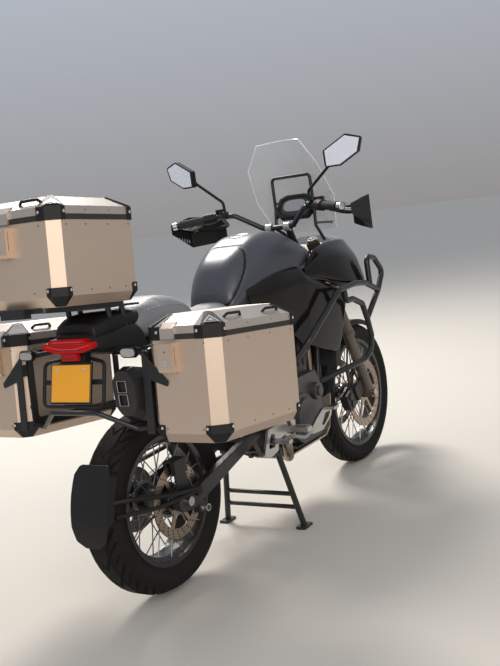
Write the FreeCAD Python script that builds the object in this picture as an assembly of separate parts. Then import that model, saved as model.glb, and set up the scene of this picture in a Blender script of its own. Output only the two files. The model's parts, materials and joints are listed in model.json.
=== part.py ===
import FreeCAD, Part
from functools import cache
import math
import os

# An adventure motorcycle with three aluminium cases, parked on its centre stand.
# Millimetres and degrees. X runs forward and is measured here from the rear axle, Y runs to the left
# and Z runs up from the ground. At the end everything moves back by half the length, so that the
# origin lies on the ground under the middle of the whole machine.

V = FreeCAD.Vector
ACROSS = V(0, 1, 0)
UP = V(0, 0, 1)

# Wheels and stance
WHEELBASE = 1525.0
BACK_OVERHANG = 510.0
STAND_LIFT = 15.0
FRONT_TYRE_R = 329.0
FRONT_TYRE_WIDTH = 110.0
FRONT_BEAD_R = 241.3
FRONT_RIM_WIDTH = 76.0
REAR_TYRE_R = 321.0
REAR_TYRE_WIDTH = 150.0
REAR_BEAD_R = 215.9
REAR_RIM_WIDTH = 108.0
TYRE_WALL = 9.0
RIM_WALL = 4.0
FLANGE_HEIGHT = 13.0
SPOKE_COUNT = 36
SPOKE_R = 2.2
FIT = 0.3

# Steering
RAKE = 25.5
FORK_OFFSET = 44.0
FORK_HALF_SPACING = 100.0
STANCHION_R = 24.0
OUTER_TUBE_R = 29.0
OUTER_TUBE_LOW = 330.0
LOWER_YOKE_LOW = 600.0
UPPER_YOKE_LOW = 784.0
YOKE_THICK = 28.0
HEAD_TUBE_R = 30.0
HEAD_TUBE_BORE = 19.5
STEM_R = 15.0
HEAD_GAP = 0.4
BAR_R = 11.0
BAR_MIDDLE = V(1068, 0, 1166)
BAR_BEND = V(1004, -172, 1240)
GRIP_INNER = V(978, -245, 1244)
GRIP_END = V(884, -391, 1231)
GRIP_R = 16.0
GUARD_LOW = 1122.0
MIRROR_TURN = 13.5
MIRROR_ROOT = V(991, -208, 1247)

# Brakes and drive
AXLE_R = 10.0
FRONT_DISC_R = 160.0
FRONT_DISC_Y = 68.0
REAR_DISC_R = 130.0
REAR_DISC_Y = 92.0
DISC_THICK = 5.0
PAD_GAP = 7.5
CHAIN_Y = 97.0
CHAIN_PITCH = 15.875
REAR_TEETH = 45
FRONT_TEETH = 16
FRONT_SPROCKET = V(640, 0, 430)
PIVOT = V(560, 0, 430)
PIVOT_R = 24.0
SPOOL = V(71, -142, 290)

# Exhaust and luggage
SILENCER_Y = -196.0
CASE_TILT = 6.0
CASE_WALL = 2.0
TOPCASE_CUT = 31.0
PANNIER_CUT = 38.0
CASE_CHAMFER = 30.0
LID_STRIP = 40.0
LID_HEIGHT = 74.0
LID_INSET = 62.0
TOPCASE_LENGTH = 367.0
TOPCASE_WIDTH = 396.0
TOPCASE_DEPTH = 247.0
TOPCASE_LID_Z = 1335.0
PANNIER_LENGTH = 485.0
PANNIER_WIDTH = 264.0
PANNIER_DEPTH = 310.0
PANNIER_INNER_Y = 264.0
PANNIER_REAR_X = -254.0
PANNIER_LID_Z = 938.0
LATCH_WIDTH = 57.0
LATCH_DEPTH = 26.0
LATCH_LOW = -95.0
LATCH_CHAMFER = 10.0
PANNIER_LATCH_Y = 34.0
SHIELD_THICK = 3.0
CAP_THICK = 4.0
HINGE_R = 6.0
HINGE_PIN_R = 3.0
HINGE_OUT = 9.0
RACK_OUTER_Y = 261.0

# Tank, screen and number plate
TANK_BACK_X = 486.0
SCREEN_THICK = 4.0
SCREEN_SCREW_R = 5.0
TANK_FLOOR = 880.0
SEAT_FLOOR = 872.0
PLATE_TOP_X = -296.0
PLATE_TOP_Z = 882.0
PLATE_LEAN = 0.28
PLATE_WIDTH = 165.0
PLATE_HEIGHT = 115.0

# Frame and stands
RAIL_R = 14.0
TOP_RAIL_JOINT = (1000, -105, 905)
LOW_RAIL_JOINT = (1120, -95, 790)
SEAT_JOINT = (760, -125, 842)
CRADLE_LOW = 272.0
SUBFRAME_R = 11.0
CRASH_R = 12.5
RACK_R = 8.0
SPOOL_R = 9.0
STAND_PIVOT = V(615, 0, 318)
STAND_TOP_Y = 125.0
STAND_FOOT = V(648, 184, 0)
STAND_R = 12.0
STAND_PIN_R = 8.0
SIDE_PIN_R = 7.0
SIDE_PIVOT = V(770, 185, 268)
SIDE_END = V(532, 206, 262)
SIDE_CANT = 15.0

# What follows from them
FRONT_AXLE = V(WHEELBASE, 0, FRONT_TYRE_R)
REAR_AXLE = V(0, 0, REAR_TYRE_R + STAND_LIFT)
SIDE_AXIS = V(0, math.cos(math.radians(SIDE_CANT)), math.sin(math.radians(SIDE_CANT)))
MIDDLE_X = (WHEELBASE + FRONT_TYRE_R - BACK_OVERHANG) / 2


def joined(pieces):
    """One solid from pieces that meet or run into each other."""
    if len(pieces) == 1:
        return pieces[0]
    return pieces[0].multiFuse(pieces[1:]).removeSplitter()


def mirrored(shape):
    """The same shape on the other side of the machine."""
    return shape.mirror(V(0, 0, 0), ACROSS)


def both_sides(shape):
    return Part.makeCompound([shape, mirrored(shape)])


def turned(shape, centre, axis, angle):
    copy = shape.copy()
    copy.rotate(centre, axis, angle)
    return copy


def moved(shape, offset):
    copy = shape.copy()
    copy.translate(offset)
    return copy


def rod(start, end, radius):
    return Part.makeCylinder(radius, (end - start).Length, start, end - start)


def block(low, high):
    size = high - low
    return Part.makeBox(size.x, size.y, size.z, low)


def corner(before, at, after, radius):
    """Start, middle and end of the arc that rounds a corner, its centre and its turn in degrees."""
    back = before - at
    onward = after - at
    shorter = min(back.Length, onward.Length)
    half = back.getAngle(onward) / 2
    reach = min(radius / math.tan(half), 0.49 * shorter)
    radius = reach * math.tan(half)
    back.normalize()
    onward.normalize()
    inward = back + onward
    inward.normalize()
    centre = at + inward * (radius / math.sin(half))
    middle = centre - inward * radius
    return at + back * reach, middle, at + onward * reach, centre, 180 - 2 * math.degrees(half)


def tube(points, radius, bend):
    """A round tube through the points, bent to one radius at each corner."""
    pieces = []
    start = points[0]
    for before, at, after in zip(points, points[1:], points[2:]):
        arc_start, middle, arc_end, centre, turn = corner(before, at, after, bend)
        pieces.append(rod(start, arc_start, radius))
        face = Part.Face(Part.Wire(Part.makeCircle(radius, arc_start, at - before)))
        pieces.append(face.revolve(centre, (at - before).cross(after - at), turn))
        start = arc_end
    pieces.append(rod(start, points[-1], radius))
    return joined(pieces)


def tubes(table, radius, bend):
    """Several tubes of one size, fused where they meet."""
    return joined([tube([V(*point) for point in row], radius, bend) for row in table])


def outline(points, radius):
    """A closed wire through the points, with each corner rounded to the radius."""
    if radius == 0:
        return Part.makePolygon(points + points[:1])
    count = len(points)
    arcs = []
    for i, point in enumerate(points):
        arcs.append(corner(points[i - 1], point, points[(i + 1) % count], radius)[:3])
    edges = []
    for i, (start, middle, end) in enumerate(arcs):
        edges.append(Part.Arc(start, middle, end).toShape())
        following = arcs[(i + 1) % count][0]
        if (following - end).Length > 0.001:
            edges.append(Part.LineSegment(end, following).toShape())
    return Part.Wire(edges)


def plate(side_view, y_low, y_high, radius=0):
    """A flat piece cut to a side view, given as (x, z) corners, between two heights across."""
    points = [V(x, y_low, z) for x, z in side_view]
    return Part.Face(outline(points, radius)).extrude(V(0, y_high - y_low, 0))


def floor_plate(plan, z_low, z_high, radius=0):
    """A flat piece cut to a plan, given as (x, y) corners."""
    points = [V(x, y, z_low) for x, y in plan]
    return Part.Face(outline(points, radius)).extrude(V(0, 0, z_high - z_low))


def body(sections, radius, ruled=False):
    """A body through cross-sections that are alike on both sides.

    Each row is x and then the right half's corners as (y, z) from the bottom to the top.
    """
    wires = []
    for x, half in sections:
        right = [V(x, -y, z) for y, z in half]
        left = [V(x, y, z) for y, z in reversed(half)]
        wires.append(outline(right + left, radius))
    return Part.makeLoft(wires, True, ruled)


def side_body(sections, radius, ruled=False):
    """A body through cross-sections on one side: each row is x and the corners as (y, z)."""
    wires = [outline([V(x, y, z) for y, z in corners], radius) for x, corners in sections]
    return Part.makeLoft(wires, True, ruled)


def ring(centre, profile):
    """A solid of revolution about the line across through the centre, from (y, r) corners."""
    points = [V(centre.x, y, centre.z + r) for y, r in profile]
    face = Part.Face(Part.makePolygon(points + points[:1]))
    return face.revolve(centre, ACROSS, 360)


def disc(centre, outer, inner, y_low, y_high):
    """A flat ring across the machine."""
    return ring(centre, [(y_low, inner), (y_high, inner), (y_high, outer), (y_low, outer)])


# Wheels

def tyre(axle, radius, width, bead_r, rim_width):
    """A tyre as a bent wall: beads on the rim, bulged sides, shoulders and a crown."""
    seat = rim_width / 2
    flange_r = bead_r + FLANGE_HEIGHT
    side_r = (flange_r + radius) / 2
    shoulder_r = radius - width * 0.12
    outer = [(seat, bead_r), (seat, flange_r), (width / 2, side_r), (width * 0.43, shoulder_r), (width * 0.2, radius)]
    inner = [(width * 0.36, shoulder_r - TYRE_WALL), (seat - TYRE_WALL, bead_r)]
    far_outer = [(-y, r) for y, r in reversed(outer)]
    far_inner = [(-y, r) for y, r in reversed(inner)]
    return ring(axle, outer + far_outer + far_inner + inner)


def rim(axle, bead_r, rim_width):
    """A drop-centre rim: flanges, bead seats and a well, of one wall thickness."""
    seat = rim_width / 2
    top = [(seat + RIM_WALL, bead_r + FLANGE_HEIGHT - 1), (seat, bead_r + FLANGE_HEIGHT - 1),
           (seat, bead_r), (seat - 15, bead_r), (seat - 24, bead_r - 16)]
    low = [(seat - 24, bead_r - 16 - RIM_WALL), (seat - 15, bead_r - RIM_WALL),
           (seat + RIM_WALL, bead_r - RIM_WALL)]
    right = [(-y, r) for y, r in reversed(top)]
    right_low = [(-y, r) for y, r in reversed(low)]
    return ring(axle, top + right + right_low + low)


def six_sided(start, end, radius):
    """A bar with a six-sided section, for thin pieces that repeat."""
    way = end - start
    circle = Part.makeCircle(radius, start, way)
    points = [circle.valueAt(math.radians(60 * i)) for i in range(6)]
    return Part.Face(Part.makePolygon(points + points[:1])).extrude(way)


def spokes(axle, hub_r, hub_y, rim_r, rim_y):
    """Crossed wire spokes in pairs, from the hub's two flanges to the rim's two edges."""
    wires = []
    step = 360.0 / SPOKE_COUNT
    for i in range(SPOKE_COUNT):
        side = 1 if i % 2 else -1
        lead = 28.0 if (i // 2) % 2 else -28.0
        angle = math.radians(i * step)
        hub_angle = angle + math.radians(lead)
        start = axle + V(hub_r * math.cos(hub_angle), side * hub_y, hub_r * math.sin(hub_angle))
        end = axle + V(rim_r * math.cos(angle), side * rim_y, rim_r * math.sin(angle))
        wires.append(six_sided(start, end, SPOKE_R))
    return wires


def hub(axle, barrel_r, flange_r, flange_y, left_y, right_y):
    """A turned hub: barrel, spoke flanges and carrier faces for the disc and sprocket, bored through."""
    bore = AXLE_R + FIT
    profile = [(-right_y, bore), (left_y, bore), (left_y, barrel_r), (flange_y + 5, barrel_r),
               (flange_y + 5, flange_r), (flange_y - 3, flange_r), (flange_y - 8, barrel_r),
               (8 - flange_y, barrel_r), (3 - flange_y, flange_r), (-flange_y - 5, flange_r),
               (-flange_y - 5, barrel_r), (-right_y, barrel_r)]
    return ring(axle, profile)


def front_wheel():
    rim_y = FRONT_RIM_WIDTH / 2 + 1
    parts = [rim(FRONT_AXLE, FRONT_BEAD_R, FRONT_RIM_WIDTH)]
    parts.append(hub(FRONT_AXLE, 27, 44, 34, 76, 76))
    parts += spokes(FRONT_AXLE, 40, 34, FRONT_BEAD_R - 2, rim_y)
    return joined(parts)


def rear_wheel():
    rim_y = REAR_RIM_WIDTH / 2 + 1
    parts = [rim(REAR_AXLE, REAR_BEAD_R, REAR_RIM_WIDTH)]
    parts.append(hub(REAR_AXLE, 34, 62, 50, REAR_DISC_Y + 12, REAR_DISC_Y + 12))
    parts += spokes(REAR_AXLE, 57, 50, REAR_BEAD_R - 2, rim_y)
    return joined(parts)


def brake_disc(axle, radius, y, hub_r):
    """A brake disc on a six-armed carrier that sits round the hub's barrel."""
    low = y - DISC_THICK / 2
    high = y + DISC_THICK / 2
    band = disc(axle, radius, radius - 34, low, high)
    centre = disc(axle, hub_r + 16, hub_r + FIT, low, high)
    arms = []
    for i in range(6):
        angle = math.radians(60 * i)
        way = V(math.cos(angle), 0, math.sin(angle))
        start = axle + way * (hub_r + 8) + V(0, y, 0)
        arm = block(V(0, -DISC_THICK / 2, -8), V(radius - hub_r - 34, DISC_THICK / 2, 8))
        arms.append(moved(turned(arm, V(0, 0, 0), ACROSS, -60 * i), start))
    return joined([band, centre] + arms)


def front_discs():
    right = brake_disc(FRONT_AXLE, FRONT_DISC_R, -FRONT_DISC_Y, 27)
    return both_sides(right)


def rear_disc():
    return brake_disc(REAR_AXLE, REAR_DISC_R, -REAR_DISC_Y, 34)


def pitch_radius(teeth):
    return CHAIN_PITCH / 2 / math.sin(math.pi / teeth)


def rear_sprocket():
    """The sprocket sits on the hub's left end, thin enough to run between the chain's side plates."""
    tip = pitch_radius(REAR_TEETH) - 5.5
    web = disc(REAR_AXLE, tip, 34 + FIT, CHAIN_Y - 3, CHAIN_Y + 3)
    windows = []
    for i in range(5):
        angle = math.radians(72 * i + 18)
        spot = REAR_AXLE + V(74 * math.cos(angle), CHAIN_Y - 4, 74 * math.sin(angle))
        windows.append(Part.makeCylinder(17, 8, spot, ACROSS))
    return web.cut(Part.makeCompound(windows))


def chain_loop(offset):
    """The chain's path round both sprockets, set out from the pitch line by an offset."""
    rear_r = pitch_radius(REAR_TEETH) + offset
    front_r = pitch_radius(FRONT_TEETH) + offset
    line = FRONT_SPROCKET - REAR_AXLE
    lie = math.atan2(line.z, line.x)
    closing = math.asin((rear_r - front_r) / line.Length)
    top = lie + math.pi / 2 - closing
    bottom = lie - math.pi / 2 + closing

    def spot(centre, radius, angle):
        return centre + V(radius * math.cos(angle), 0, radius * math.sin(angle))

    rear_arc = Part.Arc(spot(REAR_AXLE, rear_r, top), spot(REAR_AXLE, rear_r, lie + math.pi),
                        spot(REAR_AXLE, rear_r, bottom)).toShape()
    front_arc = Part.Arc(spot(FRONT_SPROCKET, front_r, bottom), spot(FRONT_SPROCKET, front_r, lie),
                         spot(FRONT_SPROCKET, front_r, top)).toShape()
    low_run = Part.LineSegment(spot(REAR_AXLE, rear_r, bottom),
                               spot(FRONT_SPROCKET, front_r, bottom)).toShape()
    top_run = Part.LineSegment(spot(FRONT_SPROCKET, front_r, top),
                               spot(REAR_AXLE, rear_r, top)).toShape()
    return Part.Wire([rear_arc, low_run, front_arc, top_run])


def drive_chain():
    """The chain as one fixed loop: side plates, with the gaps between the rollers along both runs."""
    outer = Part.Face(chain_loop(7)).extrude(V(0, 16, 0))
    inner = Part.Face(chain_loop(-5)).extrude(V(0, 16, 0))
    loop = moved(outer.cut(inner), V(0, CHAIN_Y - 8, 0))
    _, low_run, _, top_run = chain_loop(1).Edges
    gaps = []
    for run in (low_run, top_run):
        start = run.Vertexes[0].Point
        way = run.Vertexes[1].Point - start
        count = int(way.Length / CHAIN_PITCH) - 1
        lean = -math.degrees(math.atan2(way.z, way.x))
        way.normalize()
        for i in range(count):
            centre = start + way * CHAIN_PITCH * (i + 1)
            gap = block(V(-3.5, CHAIN_Y - 9, -3), V(3.5, CHAIN_Y + 9, 3))
            gaps.append(moved(turned(gap, V(0, 0, 0), ACROSS, lean), centre))
    return loop.cut(Part.makeCompound(gaps))


# Steering: pieces built upright on the axle, with Z up the fork, and then raked

def raked(shape):
    return moved(turned(shape, V(0, 0, 0), ACROSS, -RAKE), FRONT_AXLE)


def yoke(low):
    """A fork clamp: a bar between the legs with a boss round each and one round the stem."""
    high = low + YOKE_THICK
    half = FORK_HALF_SPACING
    plan = [(-70, -28), (-70, 28), (-20, half + 12), (22, half + 12), (30, 30), (30, -30),
            (22, -half - 12), (-20, -half - 12)]
    pieces = [floor_plate(plan, low, high, 12)]
    for y in (-half, half):
        pieces.append(Part.makeCylinder(OUTER_TUBE_R + 9, YOKE_THICK, V(0, y, low)))
    return joined(pieces)


@cache
def fork():
    """Upside-down fork: two yokes, the stem between them and two legs with axle clamps."""
    top = UPPER_YOKE_LOW + YOKE_THICK + 30
    pieces = [yoke(LOWER_YOKE_LOW), yoke(UPPER_YOKE_LOW)]
    pieces.append(rod(V(-FORK_OFFSET, 0, LOWER_YOKE_LOW), V(-FORK_OFFSET, 0, UPPER_YOKE_LOW + 1), STEM_R))
    for y in (-FORK_HALF_SPACING, FORK_HALF_SPACING):
        pieces.append(rod(V(0, y, 0), V(0, y, OUTER_TUBE_LOW + 1), STANCHION_R))
        pieces.append(rod(V(0, y, OUTER_TUBE_LOW), V(0, y, top), OUTER_TUBE_R))
        pieces.append(rod(V(0, y, top - 1), V(0, y, top + 6), OUTER_TUBE_R - 7))
        pieces.append(rod(V(0, y, OUTER_TUBE_LOW), V(0, y, OUTER_TUBE_LOW + 26), OUTER_TUBE_R + 3))
        lug = Part.makeCylinder(26, 44, V(0, y - 22, 0), ACROSS)
        pieces.append(lug)
    legs = joined(pieces)
    return raked(legs.cut(rod(V(0, -200, 0), V(0, 200, 0), AXLE_R)))


def front_axle():
    """The axle bar through both fork legs, with a nut at the left end and spacers at the hub."""
    reach = FORK_HALF_SPACING + STANCHION_R
    bar = rod(V(0, -reach, 0), V(0, reach, 0), AXLE_R)
    head = Part.makeCylinder(15, 8, V(0, -reach - 8, 0), ACROSS)
    nut = Part.makeCylinder(15, 8, V(0, reach, 0), ACROSS)
    return moved(joined([bar, head, nut]), FRONT_AXLE)


def front_mudguard():
    """A short guard close over the tyre, on four stays to the fork legs."""
    inner = 343.0
    half = 64.0
    band = ring(FRONT_AXLE, [(-half, inner - 22), (-half + 3, inner - 22), (-half + 12, inner),
                             (half - 12, inner), (half - 3, inner - 22), (half, inner - 22),
                             (half - 10, inner + 3), (-half + 10, inner + 3)])
    reach = 500.0
    points = [V(0, -reach, 0)]
    for angle in (62, 92, 122, 152):
        way = math.radians(angle)
        points.append(V(reach * math.cos(way), -reach, reach * math.sin(way)))
    wedge = Part.Face(outline(points, 0)).extrude(V(0, 2 * reach, 0))
    guard = band.common(moved(wedge, FRONT_AXLE))
    lug = block(V(-22, -FORK_HALF_SPACING + STANCHION_R - 4, 296), V(22, -60, 320))
    side = plate([(-45, 290), (40, 290), (30, 345), (-30, 345)], -66, -60, 6)
    stay = raked(joined([lug, side]))
    return joined([guard, stay, mirrored(stay)]).cut(fork())


def caliper():
    """A radial caliper behind the right leg, straddling the disc, with two stepped cylinder bosses."""
    side_view = [(-182, 40), (-168, 26), (-104, 26), (-100, 34), (-100, 104), (-108, 112), (-170, 112), (-182, 98)]
    outer = plate(side_view, -FRONT_DISC_Y - 20, -FRONT_DISC_Y + 17)
    bosses = []
    for z in (50, 88):
        bosses.append(Part.makeCylinder(17, 6, V(-144, -FRONT_DISC_Y - 26, z), ACROSS))
    slot = block(V(-170, -FRONT_DISC_Y - PAD_GAP, 10), V(-60, -FRONT_DISC_Y + PAD_GAP, 125))
    outer = joined([outer] + bosses).cut(slot)
    foot = block(V(-104, -FORK_HALF_SPACING + 2, 34), V(-STANCHION_R + 2, -FRONT_DISC_Y - PAD_GAP, 104))
    return outer, foot


def front_calipers():
    """The two calipers with the brake hoses that run up the legs to the lower yoke."""
    outer, foot = caliper()
    leg = rod(V(0, -FORK_HALF_SPACING, -10), V(0, -FORK_HALF_SPACING, 600), OUTER_TUBE_R + 3.5)
    hose_y = -FORK_HALF_SPACING - 2
    hose = tube([V(-120, -FRONT_DISC_Y - 14, 108), V(-100, -FRONT_DISC_Y - 16, 190), V(-46, hose_y, 300),
                 V(-40, hose_y, LOWER_YOKE_LOW - 2)], 4.5, 50)
    stanchion = rod(V(0, -FORK_HALF_SPACING, -10), V(0, -FORK_HALF_SPACING, OUTER_TUBE_LOW), STANCHION_R + FIT)
    return both_sides(raked(joined([outer, foot.cut(stanchion), hose.cut(leg)])))


@cache
def handlebar():
    """The bar, bent up from the clamps and swept back to the grips, on two leaning risers."""
    right = tube([BAR_MIDDLE, BAR_MIDDLE - V(0, 70, 0), BAR_BEND, GRIP_INNER, GRIP_END], BAR_R, 45)
    clamps = []
    yoke_top = UPPER_YOKE_LOW + YOKE_THICK
    for y in (-45, 45):
        centre = BAR_MIDDLE + V(0, y, 0)
        clamps.append(rod(on_head_axis(yoke_top - 20, y), centre, 15))
        clamps.append(Part.makeCylinder(19, 26, centre - V(0, 13, 0), ACROSS))
    under_yoke = raked(block(V(-300, -200, 0), V(300, 200, yoke_top)))
    return joined([right, mirrored(right)] + clamps).cut(under_yoke)


def along_bar(distance):
    """A place on the right grip's line, at a distance in from its outer end."""
    way = GRIP_INNER - GRIP_END
    way.normalize()
    return GRIP_END + way * distance


@cache
def hand_controls():
    """Grips, switch blocks, levers and the brake fluid cup, clamped on the bar."""
    grip = rod(along_bar(4), along_bar(122), GRIP_R)
    flange = rod(along_bar(118), along_bar(124), 22)
    switch = rod(along_bar(124), along_bar(160), 23)
    perch = rod(along_bar(158), along_bar(172), 20)
    lever_root = along_bar(158) + V(44, -8, -8)
    perch_arm = rod(along_bar(165), lever_root, 9)
    lever = tube([lever_root, along_bar(110) + V(58, 0, -14), along_bar(-2) + V(44, 0, -10)], 6, 60)
    cup_low = along_bar(168) + V(30, 8, 0)
    cup = Part.makeCylinder(21, 32, cup_low, UP)
    right = joined([grip, flange, switch, perch, perch_arm, lever, cup]).cut(handlebar())
    return both_sides(right)


def handguards():
    """A flat alloy backbone round each grip with a moulded shield, vented along its lower edge."""
    outer_end = along_bar(-14)
    backbone = tube([outer_end, V(948, -428, 1222), V(1050, -433, 1200), V(1122, -376, 1190), V(1126, -290, 1196),
                     along_bar(186) + V(16, 0, -6)], 8, 36)
    plug = rod(along_bar(-22), along_bar(-1), 15)
    rows = [((900, -440), 1196, 1236), ((1048, -446), GUARD_LOW, 1258), ((1140, -366), GUARD_LOW + 6, 1246),
            ((1150, -322), GUARD_LOW + 22, 1222)]
    sections = []
    for (x, y), low, high in rows:
        sections.append(outline([V(x, y, low), V(x - 4, y + 4, low), V(x - 4, y + 4, high), V(x, y, high)], 0))
    shield = Part.makeLoft(sections, True, True)
    vents = []
    for i in range(6):
        start = V(930 + 18 * i, -460, GUARD_LOW + 42 - 4 * i)
        vents.append(block(start, start + V(9, 40, 16)))
    right = joined([backbone, plug, shield.cut(Part.makeCompound(vents))])
    return both_sides(right).cut(hand_controls()).cut(handlebar()).cut(mirrors())


@cache
def mirrors():
    """Six-sided mirrors on slim stalks, each on its own clamp beside the brake and clutch perches."""
    centre = V(958, -392, 1441)
    long_way = V(0, -80, 44)
    wide_way = V(0, 26, 38)
    points = []
    for along, across in ((-1.0, -0.35), (-0.45, -1.0), (0.55, -1.0), (1.05, -0.1), (0.6, 0.95), (-0.6, 0.95)):
        points.append(centre + long_way * along + wide_way * across)
    head = turned(Part.Face(outline(points, 10)).extrude(V(24, 0, 0)), centre, UP, MIRROR_TURN)
    bar_way = BAR_BEND - GRIP_INNER
    bar_way.normalize()
    clamp = rod(MIRROR_ROOT - bar_way * 10, MIRROR_ROOT + bar_way * 10, BAR_R + 6)
    stalk = tube([MIRROR_ROOT, MIRROR_ROOT + V(-4, -2, 56), V(980, -330, 1398)], 6, 22)
    neck = rod(V(980, -330, 1398), V(976, -374, 1430), 8)
    right = joined([head, stalk, neck, clamp]).cut(handlebar())
    return both_sides(right).cut(hand_controls())


# Frame, engine and running gear

def on_head_axis(distance, y=0.0):
    """A place on the steering axis, at a distance up it from the height of the axle."""
    rake = math.radians(RAKE)
    foot = FRONT_AXLE - V(math.cos(rake), 0, math.sin(rake)) * FORK_OFFSET
    return foot + V(-math.sin(rake), 0, math.cos(rake)) * distance + V(0, y, 0)


def struts(table, radius):
    """Straight tubes of one size from joint to joint, fused where they meet."""
    pieces = []
    for row in table:
        points = [V(*point) for point in row]
        pieces += [rod(start, end, radius) for start, end in zip(points, points[1:])]
    return joined(pieces)


@cache
def main_frame():
    """Steel trellis: head tube, top and lower rails, braces and the swingarm's pivot plates."""
    head_low = LOWER_YOKE_LOW + YOKE_THICK + HEAD_GAP
    head_high = UPPER_YOKE_LOW - HEAD_GAP
    head = rod(on_head_axis(head_low), on_head_axis(head_high), HEAD_TUBE_R)
    bore = rod(on_head_axis(head_low - 5), on_head_axis(head_high + 5), HEAD_TUBE_BORE)
    top_joint = on_head_axis(head_high - 30, -20)
    low_joint = on_head_axis(head_low + 48, -20)
    rows = [[tuple(top_joint), TOP_RAIL_JOINT, SEAT_JOINT, (600, -76, 650), (585, -68, 560)],
            [tuple(low_joint), LOW_RAIL_JOINT, (945, -130, 668), (720, -130, 600), (600, -76, 545)],
            [TOP_RAIL_JOINT, LOW_RAIL_JOINT], [TOP_RAIL_JOINT, (945, -130, 668)],
            [SEAT_JOINT, (945, -130, 668)], [SEAT_JOINT, (720, -130, 600)]]
    pivot_plate = plate([(536, 395), (590, 300), (630, 300), (630, 520), (618, 665), (575, 665), (536, 470)],
                        -80, -56, 10)
    crossbars = [rod(V(760, -125, 842), V(760, 125, 842), 12), rod(V(595, -60, 600), V(595, 60, 600), 14),
                 rod(STAND_PIVOT - V(0, 142, 0), STAND_PIVOT + V(0, 142, 0), STAND_PIN_R)]
    for y in (-50, 50):
        crossbars.append(rod(V(760, y, 842), V(760, y, TANK_FLOOR - FIT), 11))
    side = joined([struts(rows, RAIL_R), pivot_plate])
    frame = joined([head, side, mirrored(side)] + crossbars)
    return frame.cut(bore).cut(pivot_pin())


@cache
def engine_cradle():
    """The bolted-on cradle: down tubes from the trellis, under the engine and up to the pivot plates."""
    row = [LOW_RAIL_JOINT, (1085, -90, 560), (1034, -92, 304), (990, -95, CRADLE_LOW), (800, -95, CRADLE_LOW),
           (612, -70, 372)]
    side = struts([row], RAIL_R)
    lug = block(V(1006 + FIT + 6, -98, 470), V(1080, -84, 510))
    right = joined([side, lug])
    left = joined([mirrored(right)] + side_stand_mount())
    return Part.makeCompound([right, left]).cut(main_frame())


@cache
def swingarm():
    """Two box arms that widen from the pivot to the axle, with a cross box ahead of the tyre."""
    arm = Part.makeLoft([outline([V(560, -83, 410), V(560, -113, 410), V(560, -113, 450), V(560, -83, 450)], 4),
                         outline([V(60, -112, 306), V(60, -142, 306), V(60, -142, 366), V(60, -112, 366)], 4)],
                        True, True)
    end = plate([(62, 304), (62, 368), (-20, 368), (-52, 350), (-52, 322), (-20, 304)], -142, -112, 5)
    boss = rod(V(PIVOT.x, -113, PIVOT.z), V(PIVOT.x, -82, PIVOT.z), PIVOT_R)
    lug = block(V(56, -142, 274), V(86, -112, 312))
    spool = rod(SPOOL, SPOOL + V(0, -26, 0), SPOOL_R)
    cross = block(V(395, -110, 388), V(455, 110, 424))
    axle_hole = rod(REAR_AXLE - V(0, 200, 0), REAR_AXLE + V(0, 200, 0), AXLE_R)
    side = joined([arm, end, boss, lug, spool])
    return joined([side, mirrored(side), cross]).cut(axle_hole).cut(pivot_pin())


@cache
def pivot_pin():
    return rod(PIVOT - V(0, 122, 0), PIVOT + V(0, 122, 0), 9)


def rear_axle():
    reach = 150
    bar = rod(REAR_AXLE - V(0, reach, 0), REAR_AXLE + V(0, reach, 0), AXLE_R)
    nuts = []
    for y in (-reach - 4, reach - 8):
        nuts.append(Part.makeCylinder(16, 12, REAR_AXLE + V(0, y, 0), ACROSS))
    return joined([bar] + nuts)


def rear_shock():
    """A coil-over shock from the swingarm's cross box up to the frame."""
    low = V(430, 0, 432)
    high = V(578, 0, 640)
    way = high - low
    length = way.Length
    points = [V(0, 0, 0), V(14, 0, 0), V(14, 0, 20)]
    coils = 9
    pitch = (length - 60) / coils
    for i in range(coils):
        points.append(V(33, 0, 20 + pitch * (i + 0.5)))
        points.append(V(23, 0, 20 + pitch * (i + 1)))
    points += [V(14, 0, length - 30), V(14, 0, length), V(0, 0, length)]
    coil = Part.Face(outline(points, 0)).revolve(V(0, 0, 0), UP, 360)
    shock = turned(coil, V(0, 0, 0), ACROSS, math.degrees(math.atan2(way.x, way.z)))
    return moved(shock, low)


@cache
def engine():
    """A twin-cylinder engine: crankcase, leaning cylinders and head, side covers and output shaft."""
    case = plate([(728, 352), (700, 520), (760, 562), (985, 562), (1012, 500), (1012, 340), (960, 290), (822, 290)],
                 -132, 132, 14)
    rear = plate([(630 + FIT, 425), (630 + FIT, 520), (700, 560), (760, 560), (760, 350), (700, 376)], -108, 78, 4)
    block_part = plate([(775, 555), (985, 555), (1040, 735), (858, 770)], -90, 90, 8)
    head = plate([(852, 755), (1046, 722), (1062, 792), (1020, 822), (890, 832), (866, 812)], -94, 94, 10)
    covers = []
    for x, z, radius, y, reach in ((830, 405, 92, -132, -14), (830, 405, 74, -144, -18), (950, 480, 36, -132, -26),
                                   (950, 480, 20, -158, -10), (905, 405, 80, 132, 12), (905, 405, 62, 143, 17)):
        covers.append(rod(V(x, y, z), V(x, y + reach, z), radius))
    filter_can = rod(V(1008, 30, 380), V(1052, 30, 366), 34)
    ribs = []
    for x in (880, 920, 960):
        ribs.append(block(V(x, -97, 590), V(x + 7, 97, 716)))
    shaft = Part.makeCylinder(9, 32, V(FRONT_SPROCKET.x, 78, FRONT_SPROCKET.z), ACROSS)
    sprocket = Part.makeCylinder(pitch_radius(FRONT_TEETH) - 5.5, 6, FRONT_SPROCKET + V(0, CHAIN_Y - 3, 0), ACROSS)
    return joined([case, rear, block_part, head, filter_can, shaft, sprocket] + covers + ribs)


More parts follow.
